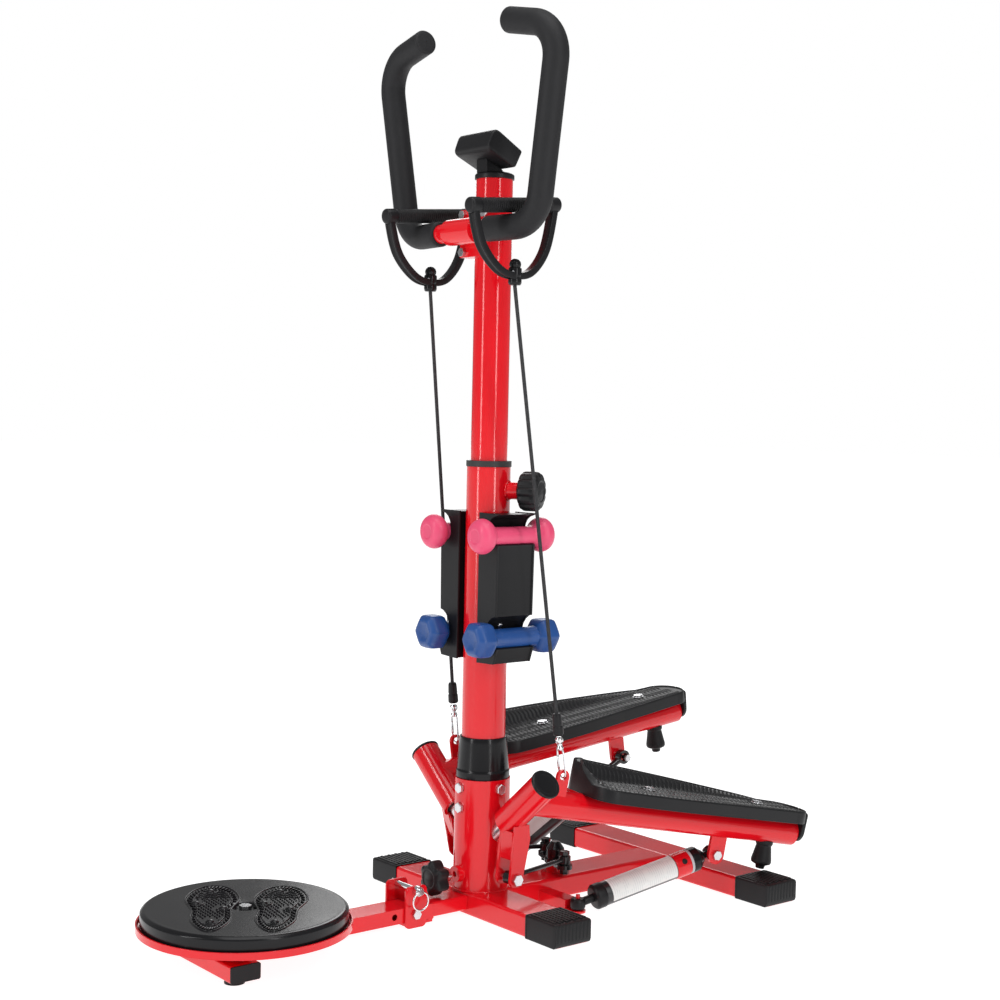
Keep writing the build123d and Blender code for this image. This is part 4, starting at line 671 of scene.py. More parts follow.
# ---------------------------------------------------------------- handlebar grips
def foam_grip(way):
    """A foam sleeve over the bar, its ends rolled in and its tip closed."""
    corner_slope = (BAR_CORNER.y - BAR_KINK.y) / (BAR_CORNER.x - BAR_KINK.x)
    start = Vector((FOAM_START_X, BAR_Y + (FOAM_START_X - BAR_KINK.x) * corner_slope, BAR_Z))
    path = bent_path([start, BAR_CORNER, BAR_SHOULDER, BAR_TIP], BAR_BEND, 0.005)
    run = [0.0]
    for before, after in zip(path, path[1:]):
        run.append(run[-1] + (after - before).length)
    roll = 0.0035
    outer = []
    path_ends = [(path[0], path[1]), (path[-1], path[-2])]
    dense = []
    for i, angle in enumerate((0.0, 0.4, 0.8, 1.2, pi / 2)):
        inward = (path_ends[0][1] - path_ends[0][0]).normalized()
        dense.append((path[0] + inward * roll * (1 - cos(angle)), FOAM_RADIUS - roll + roll * sin(angle)))
    dense.extend((point, FOAM_RADIUS) for point, at in zip(path,
                                                           run) if roll * 1.5 < at < run[-1] - roll * 1.5)
    for angle in (pi / 2, 1.2, 0.8, 0.4, 0.0):
        inward = (path_ends[1][1] - path_ends[1][0]).normalized()
        dense.append((path[-1] + inward * (roll * (1 - cos(angle)) - FOAM_CAP),
                      FOAM_RADIUS - roll + roll * sin(angle)))
    cap_rings = ((0.0, 0.0105), (0.00004, 0.0060), (0.00008, 0.0004))
    dense.extend((path[-1] - inward * (FOAM_CAP + step), radius) for step, radius in cap_rings)
    outer = [point for point, radius in dense]
    bore_end = len(outer) - len(cap_rings) - 6
    radii = [radius for point, radius in dense]
    outer = [Vector((point.x * way, point.y, point.z)) for point in outer]
    outside = sweep(outer, lambda i: round_section(radii[i], 40))
    inside = sweep(outer[:bore_end], lambda i: round_section(BAR_RADIUS + 0.0003, 40))
    shape = Shape().loft(outside + inside[::-1], loop=True)
    label = "right" if way > 0 else "left"
    made = piece(f"foam_grip_{label}", shape.verts, shape.faces, FOAM, "upper_post", "foam_grips")


foam_grip(1)
foam_grip(-1)


# ---------------------------------------------------------------- pull handles
def curve_through(points, count):
    """A smooth line through a few given points, evenly divided."""
    padded = [points[0] * 2 - points[1], *points, points[-1] * 2 - points[-2]]
    line = []
    for a, b, c, d in zip(padded, padded[1:], padded[2:], padded[3:]):
        for i in range(count):
            t = i / count
            line.append(0.5 * (b * 2 + (c - a) * t + (a * 2 - b * 5 + c * 4 - d) * t * t
                               + (b * 3 - a - c * 3 + d) * t ** 3))
    line.append(points[-1])
    return line


def pull_handle(way):
    """A stirrup: a ribbed grip, a grooved strip bent round the hand, and the cord's socket."""
    label = "right" if way > 0 else "left"
    x = HANDLE_X * way
    front, back = Vector((x, HANDLE_FRONT, HANDLE_FRONT_Z)), Vector((x, HANDLE_BACK, HANDLE_BACK_Z))
    length = (back - front).length
    profile = [(0.0, -0.004), (0.0085, -0.004), (0.0095, -0.002), (0.0098, 0.004)]
    rib_count = 34
    for i in range(rib_count):
        at = 0.008 + (length - 0.016) * i / rib_count
        pitch = (length - 0.016) / rib_count
        profile.extend([(0.0098, at), (0.0092, at + pitch * 0.2), (0.0092, at + pitch * 0.4),
                        (0.0098, at + pitch * 0.6)])
    profile.extend([(0.0098, length - 0.004), (0.0095, length + 0.002), (0.0085, length + 0.004),
                    (0.0, length + 0.004)])
    grip = lathe(profile, 36).moved(look_along(front, back - front))
    piece(f"handle_grip_{label}", grip.verts, grip.faces, RUBBER, "upper_post", "pull_handles")
    strip_points = [
        Vector((x, HANDLE_FRONT, HANDLE_FRONT_Z + 0.004)), Vector((x, HANDLE_FRONT, HANDLE_FRONT_Z - 0.012)),
        Vector((x, HANDLE_FRONT + 0.013, BOW_WAIST_Z)), Vector((x, BOW_LOW_Y - 0.028, BOW_LOW_Z + 0.012)),
        Vector((x, BOW_LOW_Y, BOW_LOW_Z + 0.005)), Vector((x, BOW_LOW_Y + 0.026, BOW_LOW_Z + 0.012)),
        Vector((x, HANDLE_BACK - 0.012, BOW_WAIST_Z + 0.002)),
        Vector((x, HANDLE_BACK, HANDLE_BACK_Z - 0.012)), Vector((x, HANDLE_BACK, HANDLE_BACK_Z + 0.004))]
    line = curve_through(strip_points, 12)
    section = rounded_outline([(-0.007, -0.0045), (-0.0045, -0.0045), (-0.003, -0.002), (0.003, -0.002),
                               (0.0045, -0.0045), (0.007, -0.0045), (0.007, 0.0045), (-0.007,
                                                                                      0.0045)], 0.0012, 3)
    rings = []
    for i, point in enumerate(line):
        tangent = (line[min(i + 1, len(line) - 1)] - line[max(i - 1, 0)]).normalized()
        across = Vector((1, 0, 0))
        outward = across.cross(tangent).normalized()
        rings.append([point + across * p.x + outward * p.y for p in section])
    strip = Shape().loft(rings)
    for end in (front, back):
        elbow = lathe(round_corners([(0, -0.0095), (0.0105, -0.0095), (0.0105, 0.0095), (0, 0.0095)], 0.004),
                      36)
        strip.join(elbow.moved(look_along(end + Vector((0, 0, 0.0)), (back - front))))
    piece(f"handle_bow_{label}", strip.verts, strip.faces, PLASTIC, "upper_post", "pull_handles")
    low = Vector((x, CORD_TOP["right"].y, CORD_TOP["right"].z))
    block = lathe(round_corners([(0.0027, 0), (0.0075, 0), (0.0088, 0.003), (0.0088, 0.008), (0.0075, 0.010),
                                 (0.0088, 0.012), (0.0088, 0.022), (0.006, 0.024), (0, 0.024)], 0.0012), 36)
    ball = lathe([(0.0078 * sin(pi * i / 16) + 1e-6, 0.027 - 0.0078 * cos(pi * i / 16)) for i in range(17)],
                 32)
    block.join(ball)
    block.moved(Matrix.Translation(low))
    piece(f"handle_socket_{label}", block.verts, block.faces, GLOSS, "upper_post", "pull_handles")
    dot = lathe([(0, 0), (0.0016, 0), (0.0016, 0.0005), (0, 0.0006)], 20)
    dot.moved(look_along(low + Vector((0.0048, -0.0070, 0.017)), (0.56, -0.82, 0)))
    piece(f"handle_pip_{label}", dot.verts, dot.faces, PALE_TRIM, "upper_post", None)


pull_handle(1)
pull_handle(-1)

# ---------------------------------------------------------------- console
def console():
    """A wedge-shaped housing with soft corners, a bezel, a window, a button and a pale strip."""
    side_view = []
    for before, corner, after, radius in zip(CONSOLE_CORNERS[-1:] + CONSOLE_CORNERS, CONSOLE_CORNERS,
                                             CONSOLE_CORNERS[1:] + CONSOLE_CORNERS[:1],
                                             (0.013, 0.004, 0.004, 0.009)):
        side_view.extend(round_corners([before, corner, after], radius, 5)[1:-1])
    turned = Matrix(((0, 0, 1, 0), (1, 0, 0, 0), (0, 1, 0, 0), (0, 0, 0, 1)))
    body = slab(side_view, -CONSOLE_HALF, CONSOLE_HALF, 0.0035, 4).moved(turned)
    piece("console_shell", body.verts, body.faces, DARK_GREY, "upper_post", "console_housing")
    face_run = (CONSOLE_CORNERS[1] - CONSOLE_CORNERS[0]).normalized()
    middle = (CONSOLE_CORNERS[0] + CONSOLE_CORNERS[1]) / 2
    across, down = Vector((1, 0, 0)), Vector((0, face_run.x, face_run.y))
    face = Matrix((across, -down, across.cross(-down))).transposed().to_4x4()
    face = Matrix.Translation((0, middle.x, middle.y)) @ face
    bezel = slab(rounded_outline(rectangle(0.062, 0.042), 0.005), -0.0008, 0.0006, 0.0005).moved(face)
    piece("console_bezel", bezel.verts, bezel.faces, GLOSS, "upper_post", "console_face")
    window = slab(rounded_outline(rectangle(0.044, 0.020), 0.002), 0.0004, 0.0009, 0.0002)
    window.moved(face @ Matrix.Translation((0, 0.007, 0)))
    piece("console_window", window.verts, window.faces, GLASS, "upper_post", None)
    button = lathe(round_corners([(0, -0.003), (0.005, -0.003), (0.005, 0.0022), (0, 0.0028)], 0.001), 32)
    button.moved(face @ Matrix.Translation((0, -0.014, 0)))
    piece("console_key", button.verts, button.faces, PALE_TRIM, "console_button", "console_button")
    low_run = CONSOLE_CORNERS[2] - CONSOLE_CORNERS[1]
    strip = slab(rounded_outline(rectangle(0.060, low_run.length * 0.55), 0.002), 0, 0.0008, 0.0004)
    strip_middle = (CONSOLE_CORNERS[1] + CONSOLE_CORNERS[2]) / 2
    low_dir = Vector((0, low_run.x, low_run.y)).normalized()
    strip_frame = Matrix((across, low_dir, across.cross(low_dir))).transposed().to_4x4()
    if strip_frame.col[2].y < 0:
        strip_frame = Matrix((-across, low_dir, (-across).cross(low_dir))).transposed().to_4x4()
    strip.moved(Matrix.Translation((0, strip_middle.x - 0.0003, strip_middle.y)) @ strip_frame)
    piece("console_bevel_strip", strip.verts, strip.faces, PALE_TRIM, "upper_post", None)


console()
post_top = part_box("upper_post")[1].z
cap_ring = lathe(round_corners([(0.0250, -0.0005), (0.0268, -0.0005), (0.0268, 0.006), (0.0225, 0.0085),
                                (0, 0.0085)],
                               0.0015), 48)
cap_ring.moved(Matrix.Translation((0, POST_CENTRE_Y, post_top)))
piece("post_cap_ring", cap_ring.verts, cap_ring.faces, PLASTIC, "upper_post", None)


# ---------------------------------------------------------------- end caps
def end_cap(way, y, half):
    """A rubber cap with raised ribs across its top and end, and a rounded sole."""
    length, width, height = 0.060, 0.062, 0.032
    rib_count, depth = 9, 0.0030
    outline = rounded_outline([(-width / 2, 0.0), (width / 2, 0.0), (width / 2, height),
                               (-width / 2, height)],
                              0.003, 5)
    stations = []
    steps = 40
    for i in range(steps + 1):
        stations.append(length * i / steps)
    rings = []
    for at in stations:
        close = max(0.0, at - (length - 0.007)) / 0.007
        shrink = 0.0022 * (1 - sqrt(max(0.0, 1 - close * close)))
        lift = 0.007 * (1 - sqrt(max(0.0, 1 - close * close)))
        ring = []
        for p in outline:
            z = p.y
            if z < height / 2:
                z = max(z, lift)
            z = z - shrink * 0.5 if z > height / 2 else z
            ring.append(Vector((half - length + at, p.x * (1 - shrink / width), z)))
        rings.append(ring)
    shell = Shape().loft(rings, caps=True)
    pitch = (width - 0.006) / rib_count
    for i in range(rib_count):
        centre = -width / 2 + 0.003 + pitch * (i + 0.5)
        rib = slab(rounded_outline(rectangle(length - 0.012 + 0.004 * (i % 2), pitch * 0.62), 0.0008, 3),
                   -0.0006, depth * 0.55, 0.0005, 2)
        top = Matrix.Translation((half - length / 2 - 0.001, centre, height))
        shell.join(rib.moved(top))
        post = slab(rounded_outline(rectangle(height - 0.010, pitch * 0.62), 0.0008, 3), -0.0006,
                    depth * 0.55, 0.0005, 2)
        face = Matrix(((0, 0, 1, half - 0.0012), (0, 1, 0, centre), (-1, 0, 0, height / 2 + 0.003),
                       (0, 0, 0, 1)))
        shell.join(post.moved(face))
    lip = rounded_outline([(-width / 2 - 0.0004, -0.0), (width / 2 + 0.0004, -0.0),
                           (width / 2 + 0.0004, height + 0.0004),
                           (-width / 2 - 0.0004, height + 0.0004)], 0.003, 5)
    shell.join(Shape().loft([[Vector((half - length + step, p.x, max(0.0, p.y))) for p in lip]
                             for step in (0.0, 0.0003, 0.0022, 0.0026)]))
    matrix = Matrix.Translation((0, y, 0))
    if way < 0:
        matrix = matrix @ Matrix.Rotation(pi, 4, "Z")
    shell.moved(matrix)
    label = ("front" if y < 0.2 else "rear") + ("_right" if way > 0 else "_left")
    piece(f"end_cap_{label}", shell.verts, shell.faces, RUBBER, "frame", "end_caps")


for tube in ("front_cross_tube", "rear_cross_tube"):
    low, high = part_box(tube)
    for way in (1, -1):
        end_cap(way, (low.y + high.y) / 2, high.x + 0.003)

# ---------------------------------------------------------------- boot, bushing, knobs
boot_low, boot_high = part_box("post_boot")
boot_r = (boot_high.x - boot_low.x) / 2
boot_view = round_corners([(0.0302, boot_low.z), (boot_r, boot_low.z), (boot_r, boot_low.z + 0.010),
                           (boot_r - 0.0012, boot_low.z + 0.012), (0.0330, boot_high.z - 0.006),
                           (0.0322, boot_high.z), (0.0302, boot_high.z)], 0.0015)
boot = Shape().loft([circle(p.x, p.y, 64) for p in boot_view], loop=True)
boot.moved(Matrix.Translation((0, POST_CENTRE_Y, 0)))
piece("boot", boot.verts, boot.faces, GLOSS, "frame", "post_boot")
bush_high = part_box("post_bushing")[1]
collar = lathe(round_corners([(0.0252, bush_high.z - 0.0001), (0.0296, bush_high.z - 0.0001),
                              (0.0309, bush_high.z - 0.002), (0.0309, bush_high.z - 0.0078),
                              (0.0304, bush_high.z - 0.0081), (0.0252, bush_high.z - 0.0081)], 0.0008), 64)
collar.moved(Matrix.Translation((0, POST_CENTRE_Y, 0)))
piece("bushing_collar", collar.verts, collar.faces, PLASTIC, "frame", None)


def lobed_knob(name, joint, node, radius, height, lobes, depth, offset):
    """A clamping knob: a lobed rim, a dished face with a raised cap, and a collar behind."""
    turn = JOINTS[joint]
    sharpness = 3 if lobes > 8 else 1

    def ripple(angle):
        return 1 - depth * (0.5 - 0.5 * cos(lobes * angle)) ** sharpness

    rim = [(radius * 0.42, -0.003), (radius * 0.80, -0.0005), (radius * 0.97, 0.002), (radius, 0.006),
           (radius, height * 0.72), (radius * 0.95, height * 0.88), (radius * 0.78, height * 0.97)]
    shape = lathe(round_corners(rim, 0.002), 144, ripple)
    crown = lathe(round_corners([(radius * 0.76, height * 0.90), (radius * 0.62, height * 0.99),
                                 (radius * 0.52, height), (radius * 0.46, height * 0.93), (0,
                                                                                           height * 0.92)], 0.001), 64)
    shape.join(crown)
    shape.moved(look_along(Vector(turn["pos_m"]) + Vector(turn["axis"]).normalized() * offset, turn["axis"]))
    piece(name, shape.verts, shape.faces, PLASTIC, node, node)
    collar_shape = lathe(round_corners([(0, -0.012), (0.0085, -0.012), (0.0085, -0.003),
                                        (radius * 0.42, -0.003),
                                        (0, -0.002)], 0.001), 40)
    collar_shape.moved(look_along(Vector(turn["pos_m"]) + Vector(turn["axis"]).normalized() * offset,
                                  turn["axis"]))
    piece(f"{name}_stem", collar_shape.verts, collar_shape.faces, STEEL, node, None)


lobed_knob("clamping_knob", "post_knob_turn", "post_knob", 0.027, 0.028, 12, 0.10, -0.001)
lobed_knob("star_knob", "socket_knob_turn", "socket_knob", 0.024, 0.022, 6, 0.26, 0.0)


# ---------------------------------------------------------------- pedals
def pedal_half_width(s):
    """Half the pedal's width at a distance along it."""
    corner, round_end = 0.030, 0.030
    if s < TOE_S + corner:
        return PEDAL_HALF - corner + sqrt(max(0.0, corner ** 2 - (TOE_S + corner - s) ** 2))
    if s > HEEL_S - round_end:
        share = min(1.0, (s - (HEEL_S - round_end)) / round_end)
        return (HEEL_HALF + 0.003) * (1 - share ** 2.6) ** (1 / 2.0)
    t = (s - TOE_S - corner) / (HEEL_S - round_end - TOE_S - corner)
    bow = 0.002 * sin(pi * min(1.0, t * 1.6))
    return PEDAL_HALF + bow - (PEDAL_HALF - HEEL_HALF - 0.003) * max(0.0, (t - 0.18) / 0.82) ** 1.5


def pedal(side):
    """A moulded foot plate: wavy cross ribs, a wall round the toe and one side, a smooth skirt."""
    wall_side = -1 if side == "right" else 1
    stations = [TOE_S + 0.0001 + (HEEL_S - TOE_S - 0.0002) * i / 330 for i in range(331)]
    across_count = 40
    brim = 0.0052

    def eased(value):
        value = max(0.0, min(1.0, value))
        return value * value * (3 - 2 * value)

    def wall_height(s):
        return WALL_H * max(0.0, 1 - (s - TOE_S) / (WALL_END_S - TOE_S)) ** 0.85

    def dish(x, s, half):
        """How far the foot's hollow climbs towards the side wall and the toe."""
        towards = wall_side * x
        side_climb = wall_height(s) * eased((towards - half + brim + 0.026) / 0.026)
        toe_climb = WALL_H * eased((towards + half) / (2 * half)) * eased((TOE_S + 0.036 - s) / 0.030)
        return min(WALL_H, hypot(side_climb, toe_climb))

    def tread(x, s, half):
        share = max(0.0, min(1.0, (half - brim - abs(x)) / 0.003))
        chevron = abs(((x / 0.014) % 2.0) - 1.0) * 0.0070
        rib = (0.5 + 0.5 * sin(2 * pi * (s + chevron) / 0.0070)) ** 0.7
        margin = max(0.0, min(1.0, (s - TOE_S - 0.008) / 0.004)) * max(0.0,
                                                                       min(1.0, (HEEL_S - 0.012 - s) / 0.006))
        bolt = min(hypot(x, s - b) for b in PEDAL_BOLTS)
        clear = max(0.0, min(1.0, (bolt - 0.0115) / 0.002))
        return TREAD_H - 0.0022 + 0.0019 * rib * share * margin * clear

    shape = Shape()
    rings = []
    for s in stations:
        half = max(pedal_half_width(s), 0.0016)
        floor_half = max(half - brim, 0.0004)
        left, right = dish(-half, s, half), dish(half, s, half)
        closed = s < TOE_S + PEDAL_SKIN or s > HEEL_S - PEDAL_SKIN
        under = SKIRT_H + 0.0002 if closed else TREAD_H - PEDAL_SKIN - 0.0025
        ring = [Vector((-half + 0.003, s, SKIRT_H)), Vector((-half + 0.0006, s, SKIRT_H)),
                Vector((-half, s, SKIRT_H + 0.0006)),
                Vector((-half - 0.0002, s, TREAD_H - 0.002 + left * 0.5)),
                Vector((-half + 0.0006, s, TREAD_H - 0.0006 + left)), Vector((-half + 0.0020, s,
                                                                              TREAD_H + left)),
                Vector((-half + 0.0036, s, TREAD_H - 0.0008 + left)),
                Vector((-half + 0.0046, s, TREAD_H - 0.0014 + left))]
        for i in range(across_count + 1):
            x = -floor_half + 2 * floor_half * i / across_count
            ring.append(Vector((x, s, tread(x, s, half) + dish(x, s, half))))
        ring.extend([Vector((half - 0.0046, s, TREAD_H - 0.0014 + right)),
                     Vector((half - 0.0036, s, TREAD_H - 0.0008 + right)), Vector((half - 0.0020, s,
                                                                                   TREAD_H + right)),
                     Vector((half - 0.0006, s, TREAD_H - 0.0006 + right)),
                     Vector((half + 0.0002, s, TREAD_H - 0.002 + right * 0.5)),
                     Vector((half, s, SKIRT_H + 0.0006)), Vector((half - 0.0006, s, SKIRT_H)),
                     Vector((half - 0.003, s, SKIRT_H)), Vector((half - 0.003, s, under)),
                     Vector((-half + 0.003, s, under))])
        rings.append(ring)
    shape.loft(rings, caps=True)
    arm_piece("foot_plate", shape, TREAD, side, f"pedal_{side}", crease=30.0)
    lip = slab(rounded_outline([(-0.026, 0.0), (0.026, 0.0), (0.024, 0.034), (0.015, 0.044), (-0.015, 0.044),
                                (-0.024, 0.034)], 0.006), 0, 0.0062, 0.0015)
    lip.moved(Matrix(((1, 0, 0, 0), (0, 0, 1, HEEL_S - 0.0065), (0, -1, 0, TREAD_H - 0.003), (0, 0, 0, 1))))
    arm_piece("heel_lip", lip, PLASTIC, side, None)
    for i, along in enumerate(PEDAL_BOLTS):
        washer = lathe(round_corners([(0.0, 0.0), (0.0085, 0.0), (0.0085, 0.0012), (0.0, 0.0012)], 0.0004),
                       32)
        head = lathe(round_corners([(0.0, 0.001), (0.0068, 0.001), (0.0060, 0.0035), (0.0032, 0.0042),
                                    (0.0030, 0.0028), (0.0, 0.0028)], 0.0006), 32)
        washer.join(head)
        washer.moved(Matrix.Translation((0, along, TREAD_H - 0.0011)))
        arm_piece(f"plate_bolt_{i + 1}", washer, STEEL, side, None)
    bumper = lathe(round_corners([(0, 0.004), (0.0125, 0.004), (0.0125, -0.002), (0.0108, -0.004),
                                  (0.0148, -0.026),
                                  (0.0140, -0.030), (0.0068, -0.033), (0.0062, -BUMPER_LENGTH + 0.0005),
                                  (0, -BUMPER_LENGTH + 0.0005)], 0.0016), 40)
    bumper.moved(Matrix.Translation((0, BUMPER_S, -ARM_RADIUS)))
    arm_piece("bumper_cone", bumper, RUBBER, side, f"bumper_{side}")


for side in ("right", "left"):
    pedal(side)


def hub_cap(side):
    """A domed push-in cap with a stepped rim."""
    dome = [(0.0, -0.003), (0.0208, -0.003), (0.0210, -0.0005), (0.0200, 0.0008), (0.0165, 0.0018),
            (0.0150, 0.0012), (0.0120, 0.0019), (0.0, 0.0024)]
    cap = lathe(round_corners(dome, 0.0008), 56)
    cap.moved(look_along(HUB_TOP - HUB_AXIS * 0.0008, HUB_AXIS))
    cap.moved(SIDES[side])
    piece(f"hub_dome_{side}", cap.verts, cap.faces, GLOSS, f"pedal_{side}", f"hub_cap_{side}")


for side in ("right", "left"):
    hub_cap(side)


# ---------------------------------------------------------------- snap hooks
def snap_hook(side):
    """A wire loop with its gate, an eyelet swivel and the ferrule crimped on the cord."""
    top, eye = CORD_TOP[side], CORD_EYE[side]
    run = (top - eye).normalized()
    across = run.cross(Vector((1, 0, 0))).normalized()
    base = Matrix((run, run.cross(across) * -1, across)).transposed().to_4x4()
    base = Matrix.Translation(eye) @ base
    length, half, wire = HOOK_LENGTH - 0.002, 0.0062, 0.00125
    line = []
    for i in range(17):
        angle = pi / 2 + pi * i / 16
        line.append(Vector((half * cos(angle) + 0.0045, half * sin(angle), 0)))
    for i in range(17):
        angle = -pi / 2 + pi * i / 16
        line.append(Vector((length - 0.0075 + half * cos(angle), half * sin(angle), 0)))
    count = len(line)
    rings = []
    for i, point in enumerate(line):
        tangent = (line[(i + 1) % count] - line[i - 1]).normalized()
        other = Vector((0, 0, 1)).cross(tangent)
        rings.append([point + Vector((0, 0, 1)) * wire * cos(a) + other * wire * sin(a)
                      for a in [2 * pi * k / 14 for k in range(14)]])
    hook = Shape().loft(rings, loop=True)
    gate = lathe([(0, 0), (0.0016, 0), (0.0019, 0.001), (0.0019, 0.017), (0.0016, 0.018), (0, 0.018)], 18)
    hook.join(gate.moved(look_along(Vector((0.010, -half, 0)), (1, 0, 0))))
    hook.moved(base)
    piece(f"snap_wire_{side}", hook.verts, hook.faces, BRIGHT, f"pedal_{side}", f"snap_hook_{side}")
    swivel = lathe(round_corners([(0, -0.004), (0.0042, -0.004), (0.0050, -0.001), (0.0034, 0.002),
                                  (0.0034, 0.005),
                                  (0.0055, 0.007), (0.0055, 0.011), (0.0035, SWIVEL_LENGTH), (0,
                                                                                              SWIVEL_LENGTH)],
                                 0.0008), 32)
    swivel.moved(look_along(eye + run * (HOOK_LENGTH - 0.002), run))
    piece(f"swivel_{side}", swivel.verts, swivel.faces, BRIGHT, f"pedal_{side}", None)
    ferrule = lathe(round_corners([(0, 0), (0.0058, 0), (0.0072, 0.002), (0.0070, 0.012), (0.0060, 0.013),
                                   (0.0066, 0.015), (0.0060, FERRULE_LENGTH - 0.003), (0.0048,
                                                                                       FERRULE_LENGTH),
                                   (0, FERRULE_LENGTH)], 0.001), 36)
    ferrule.moved(look_along(eye + run * (HOOK_LENGTH + SWIVEL_LENGTH), run))
    piece(f"ferrule_{side}", ferrule.verts, ferrule.faces, PLASTIC, f"pedal_{side}", None)


for side in ("right", "left"):
    snap_hook(side)


# ---------------------------------------------------------------- hydraulic cylinders
def cylinder(side):
    """Foot eye, collar, labelled jacket, red valve block with its pale ring, and end cap."""
    tilt, stroke = JOINTS[f"cylinder_{side}_tilt"], JOINTS[f"cylinder_{side}_stroke"]
    foot, run = Vector(tilt["pos_m"]), Vector(stroke["axis"]).normalized()
    place = look_along(foot, run)
    start, end, nose, radius = 0.024, 0.196, 0.012, 0.0175
    origin = foot.dot(run)
    up = Vector((0.35 if side == "right" else -0.9, -0.35, 1))
    up = (up - run * run.dot(up)).normalized()
    jacket_finish = cylinder_jacket(origin + 0.048, origin + 0.154, tuple(run), foot, up)
    parts = (
        ("jacket", [(0, start + 0.016), (radius - 0.0008, start + 0.016), (radius - 0.0008, end - 0.040),
                    (0, end - 0.040)], jacket_finish, 0.0006),
        ("foot_collar", [(0, start), (0.0145, start), (radius, start + 0.003), (radius, start + 0.014),
                         (radius - 0.0012, start + 0.017), (0, start + 0.017)], PLASTIC, 0.001),
        ("valve_block", [(0, end - 0.041), (radius - 0.0002, end - 0.041), (radius, end - 0.037),
                         (radius, end - 0.018), (radius - 0.001, end - 0.016), (0,
                                                                                end - 0.016)], RED, 0.0008),
        ("valve_ring", [(radius - 0.003, end - 0.017), (radius - 0.0001, end - 0.017),
                        (radius - 0.0001, end - 0.013), (radius - 0.003, end - 0.013)], PALE_TRIM, 0.0004),
        ("end_collar", [(0, end - 0.014), (radius, end - 0.014), (radius, end - 0.001),
                        (radius - 0.003, end + 0.002),
                        (0.0095, end + nose * 0.7), (0.0062, end + nose - 0.001), (0,
                                                                                   end + nose - 0.001)], GLOSS, 0.0015),
        ("foot_stem", [(0, 0.0088), (0.0058, 0.0088), (0.0058, start + 0.001), (0, start + 0.001)], PLASTIC,
         0.0008),
    )
    for name, profile, material, edge in parts:
        shape = lathe(round_corners(profile, edge), 56).moved(place)
        piece(f"cylinder_{name}_{side}", shape.verts, shape.faces, material, f"cylinder_{side}",
              f"cylinder_{side}")
    eye = lathe(round_corners([(0.0038, -0.0075), (0.0090, -0.0075), (0.0106, -0.004), (0.0106, 0.004),
                               (0.0090, 0.0075), (0.0038, 0.0075)], 0.0015), 40)
    eye.moved(Matrix.Translation(foot))
    piece(f"cylinder_foot_eye_{side}", eye.verts, eye.faces, PLASTIC, f"cylinder_{side}", None)
    pip = lathe([(0, 0), (0.0042, 0), (0.0038, 0.0012), (0, 0.0014)], 24)
    outward = Vector((0.56, -0.82, 0.25))
    outward = (outward - run * run.dot(outward)).normalized()
    pip.moved(look_along(foot + run * (end - 0.0275) + outward * (radius - 0.0005), outward))
    piece(f"cylinder_pip_{side}", pip.verts, pip.faces, PLASTIC, f"cylinder_{side}", None)


for side in ("right", "left"):
    cylinder(side)


# ---------------------------------------------------------------- twist disc
def foot_outline(length, width, count=96):
    """The outline of a shoe sole, toe towards +X."""
    outline = []
    for i in range(count):
        angle = 2 * pi * i / count
        along, across = cos(angle), sin(angle)
        waist = 1 - 0.26 * max(0.0, cos((along + 0.12) * pi * 0.9)) ** 2
        broad = 0.80 + 0.20 * along
        outline.append(Vector((along * length / 2, across * width / 2 * waist * broad)))
    return outline


def raised_bar(start, end, width, height, level):
    """A low rounded bar on the disc's face."""
    run = end - start
    angle = atan2(run.y, run.x)
    outline = rounded_outline(rectangle(max(run.length, width * 1.02), width), width * 0.49, 4)
    middle = (start + end) / 2
    bar = slab(outline, -0.0003, height, height * 0.6, 2)
    return bar.moved(Matrix.Translation((middle.x, middle.y, level)) @ Matrix.Rotation(angle, 4, "Z"))


def raised_line(points, thick, height, level, closed):
    """A low half-round ridge that follows a line on the disc's face."""
    rings = []
    count = len(points)
    for i, point in enumerate(points):
        if closed:
            tangent = points[(i + 1) % count] - points[i - 1]
        else:
            tangent = points[min(i + 1, count - 1)] - points[max(i - 1, 0)]
        side = Vector((-tangent.y, tangent.x, 0)).normalized()
        middle = Vector((point.x, point.y, level))
        rings.append([middle + side * thick * cos(a) + Vector((0, 0, -0.0003 + height * max(0.0, sin(a))))
                      for a in [2 * pi * k / 12 for k in range(12)]])
    return Shape().loft(rings, caps=not closed, loop=closed)


def inside_outline(spot, outline):
    """True where a point lies inside a closed outline."""
    inside = False
    for before, after in zip(outline, outline[1:] + outline[:1]):
        if (before.y > spot.y) != (after.y > spot.y):
            cross = before.x + (spot.y - before.y) / (after.y - before.y) * (after.x - before.x)
            inside = inside != (spot.x < cross)
    return inside


# a foot's domed studs: place along and across the sole, and the reach of the arc round each
FOOT_STUDS = ((0.072, 0.004, 0.010), (0.020, 0.020, 0.010), (-0.004, -0.014, 0.009), (-0.058, 0.0, 0.012))


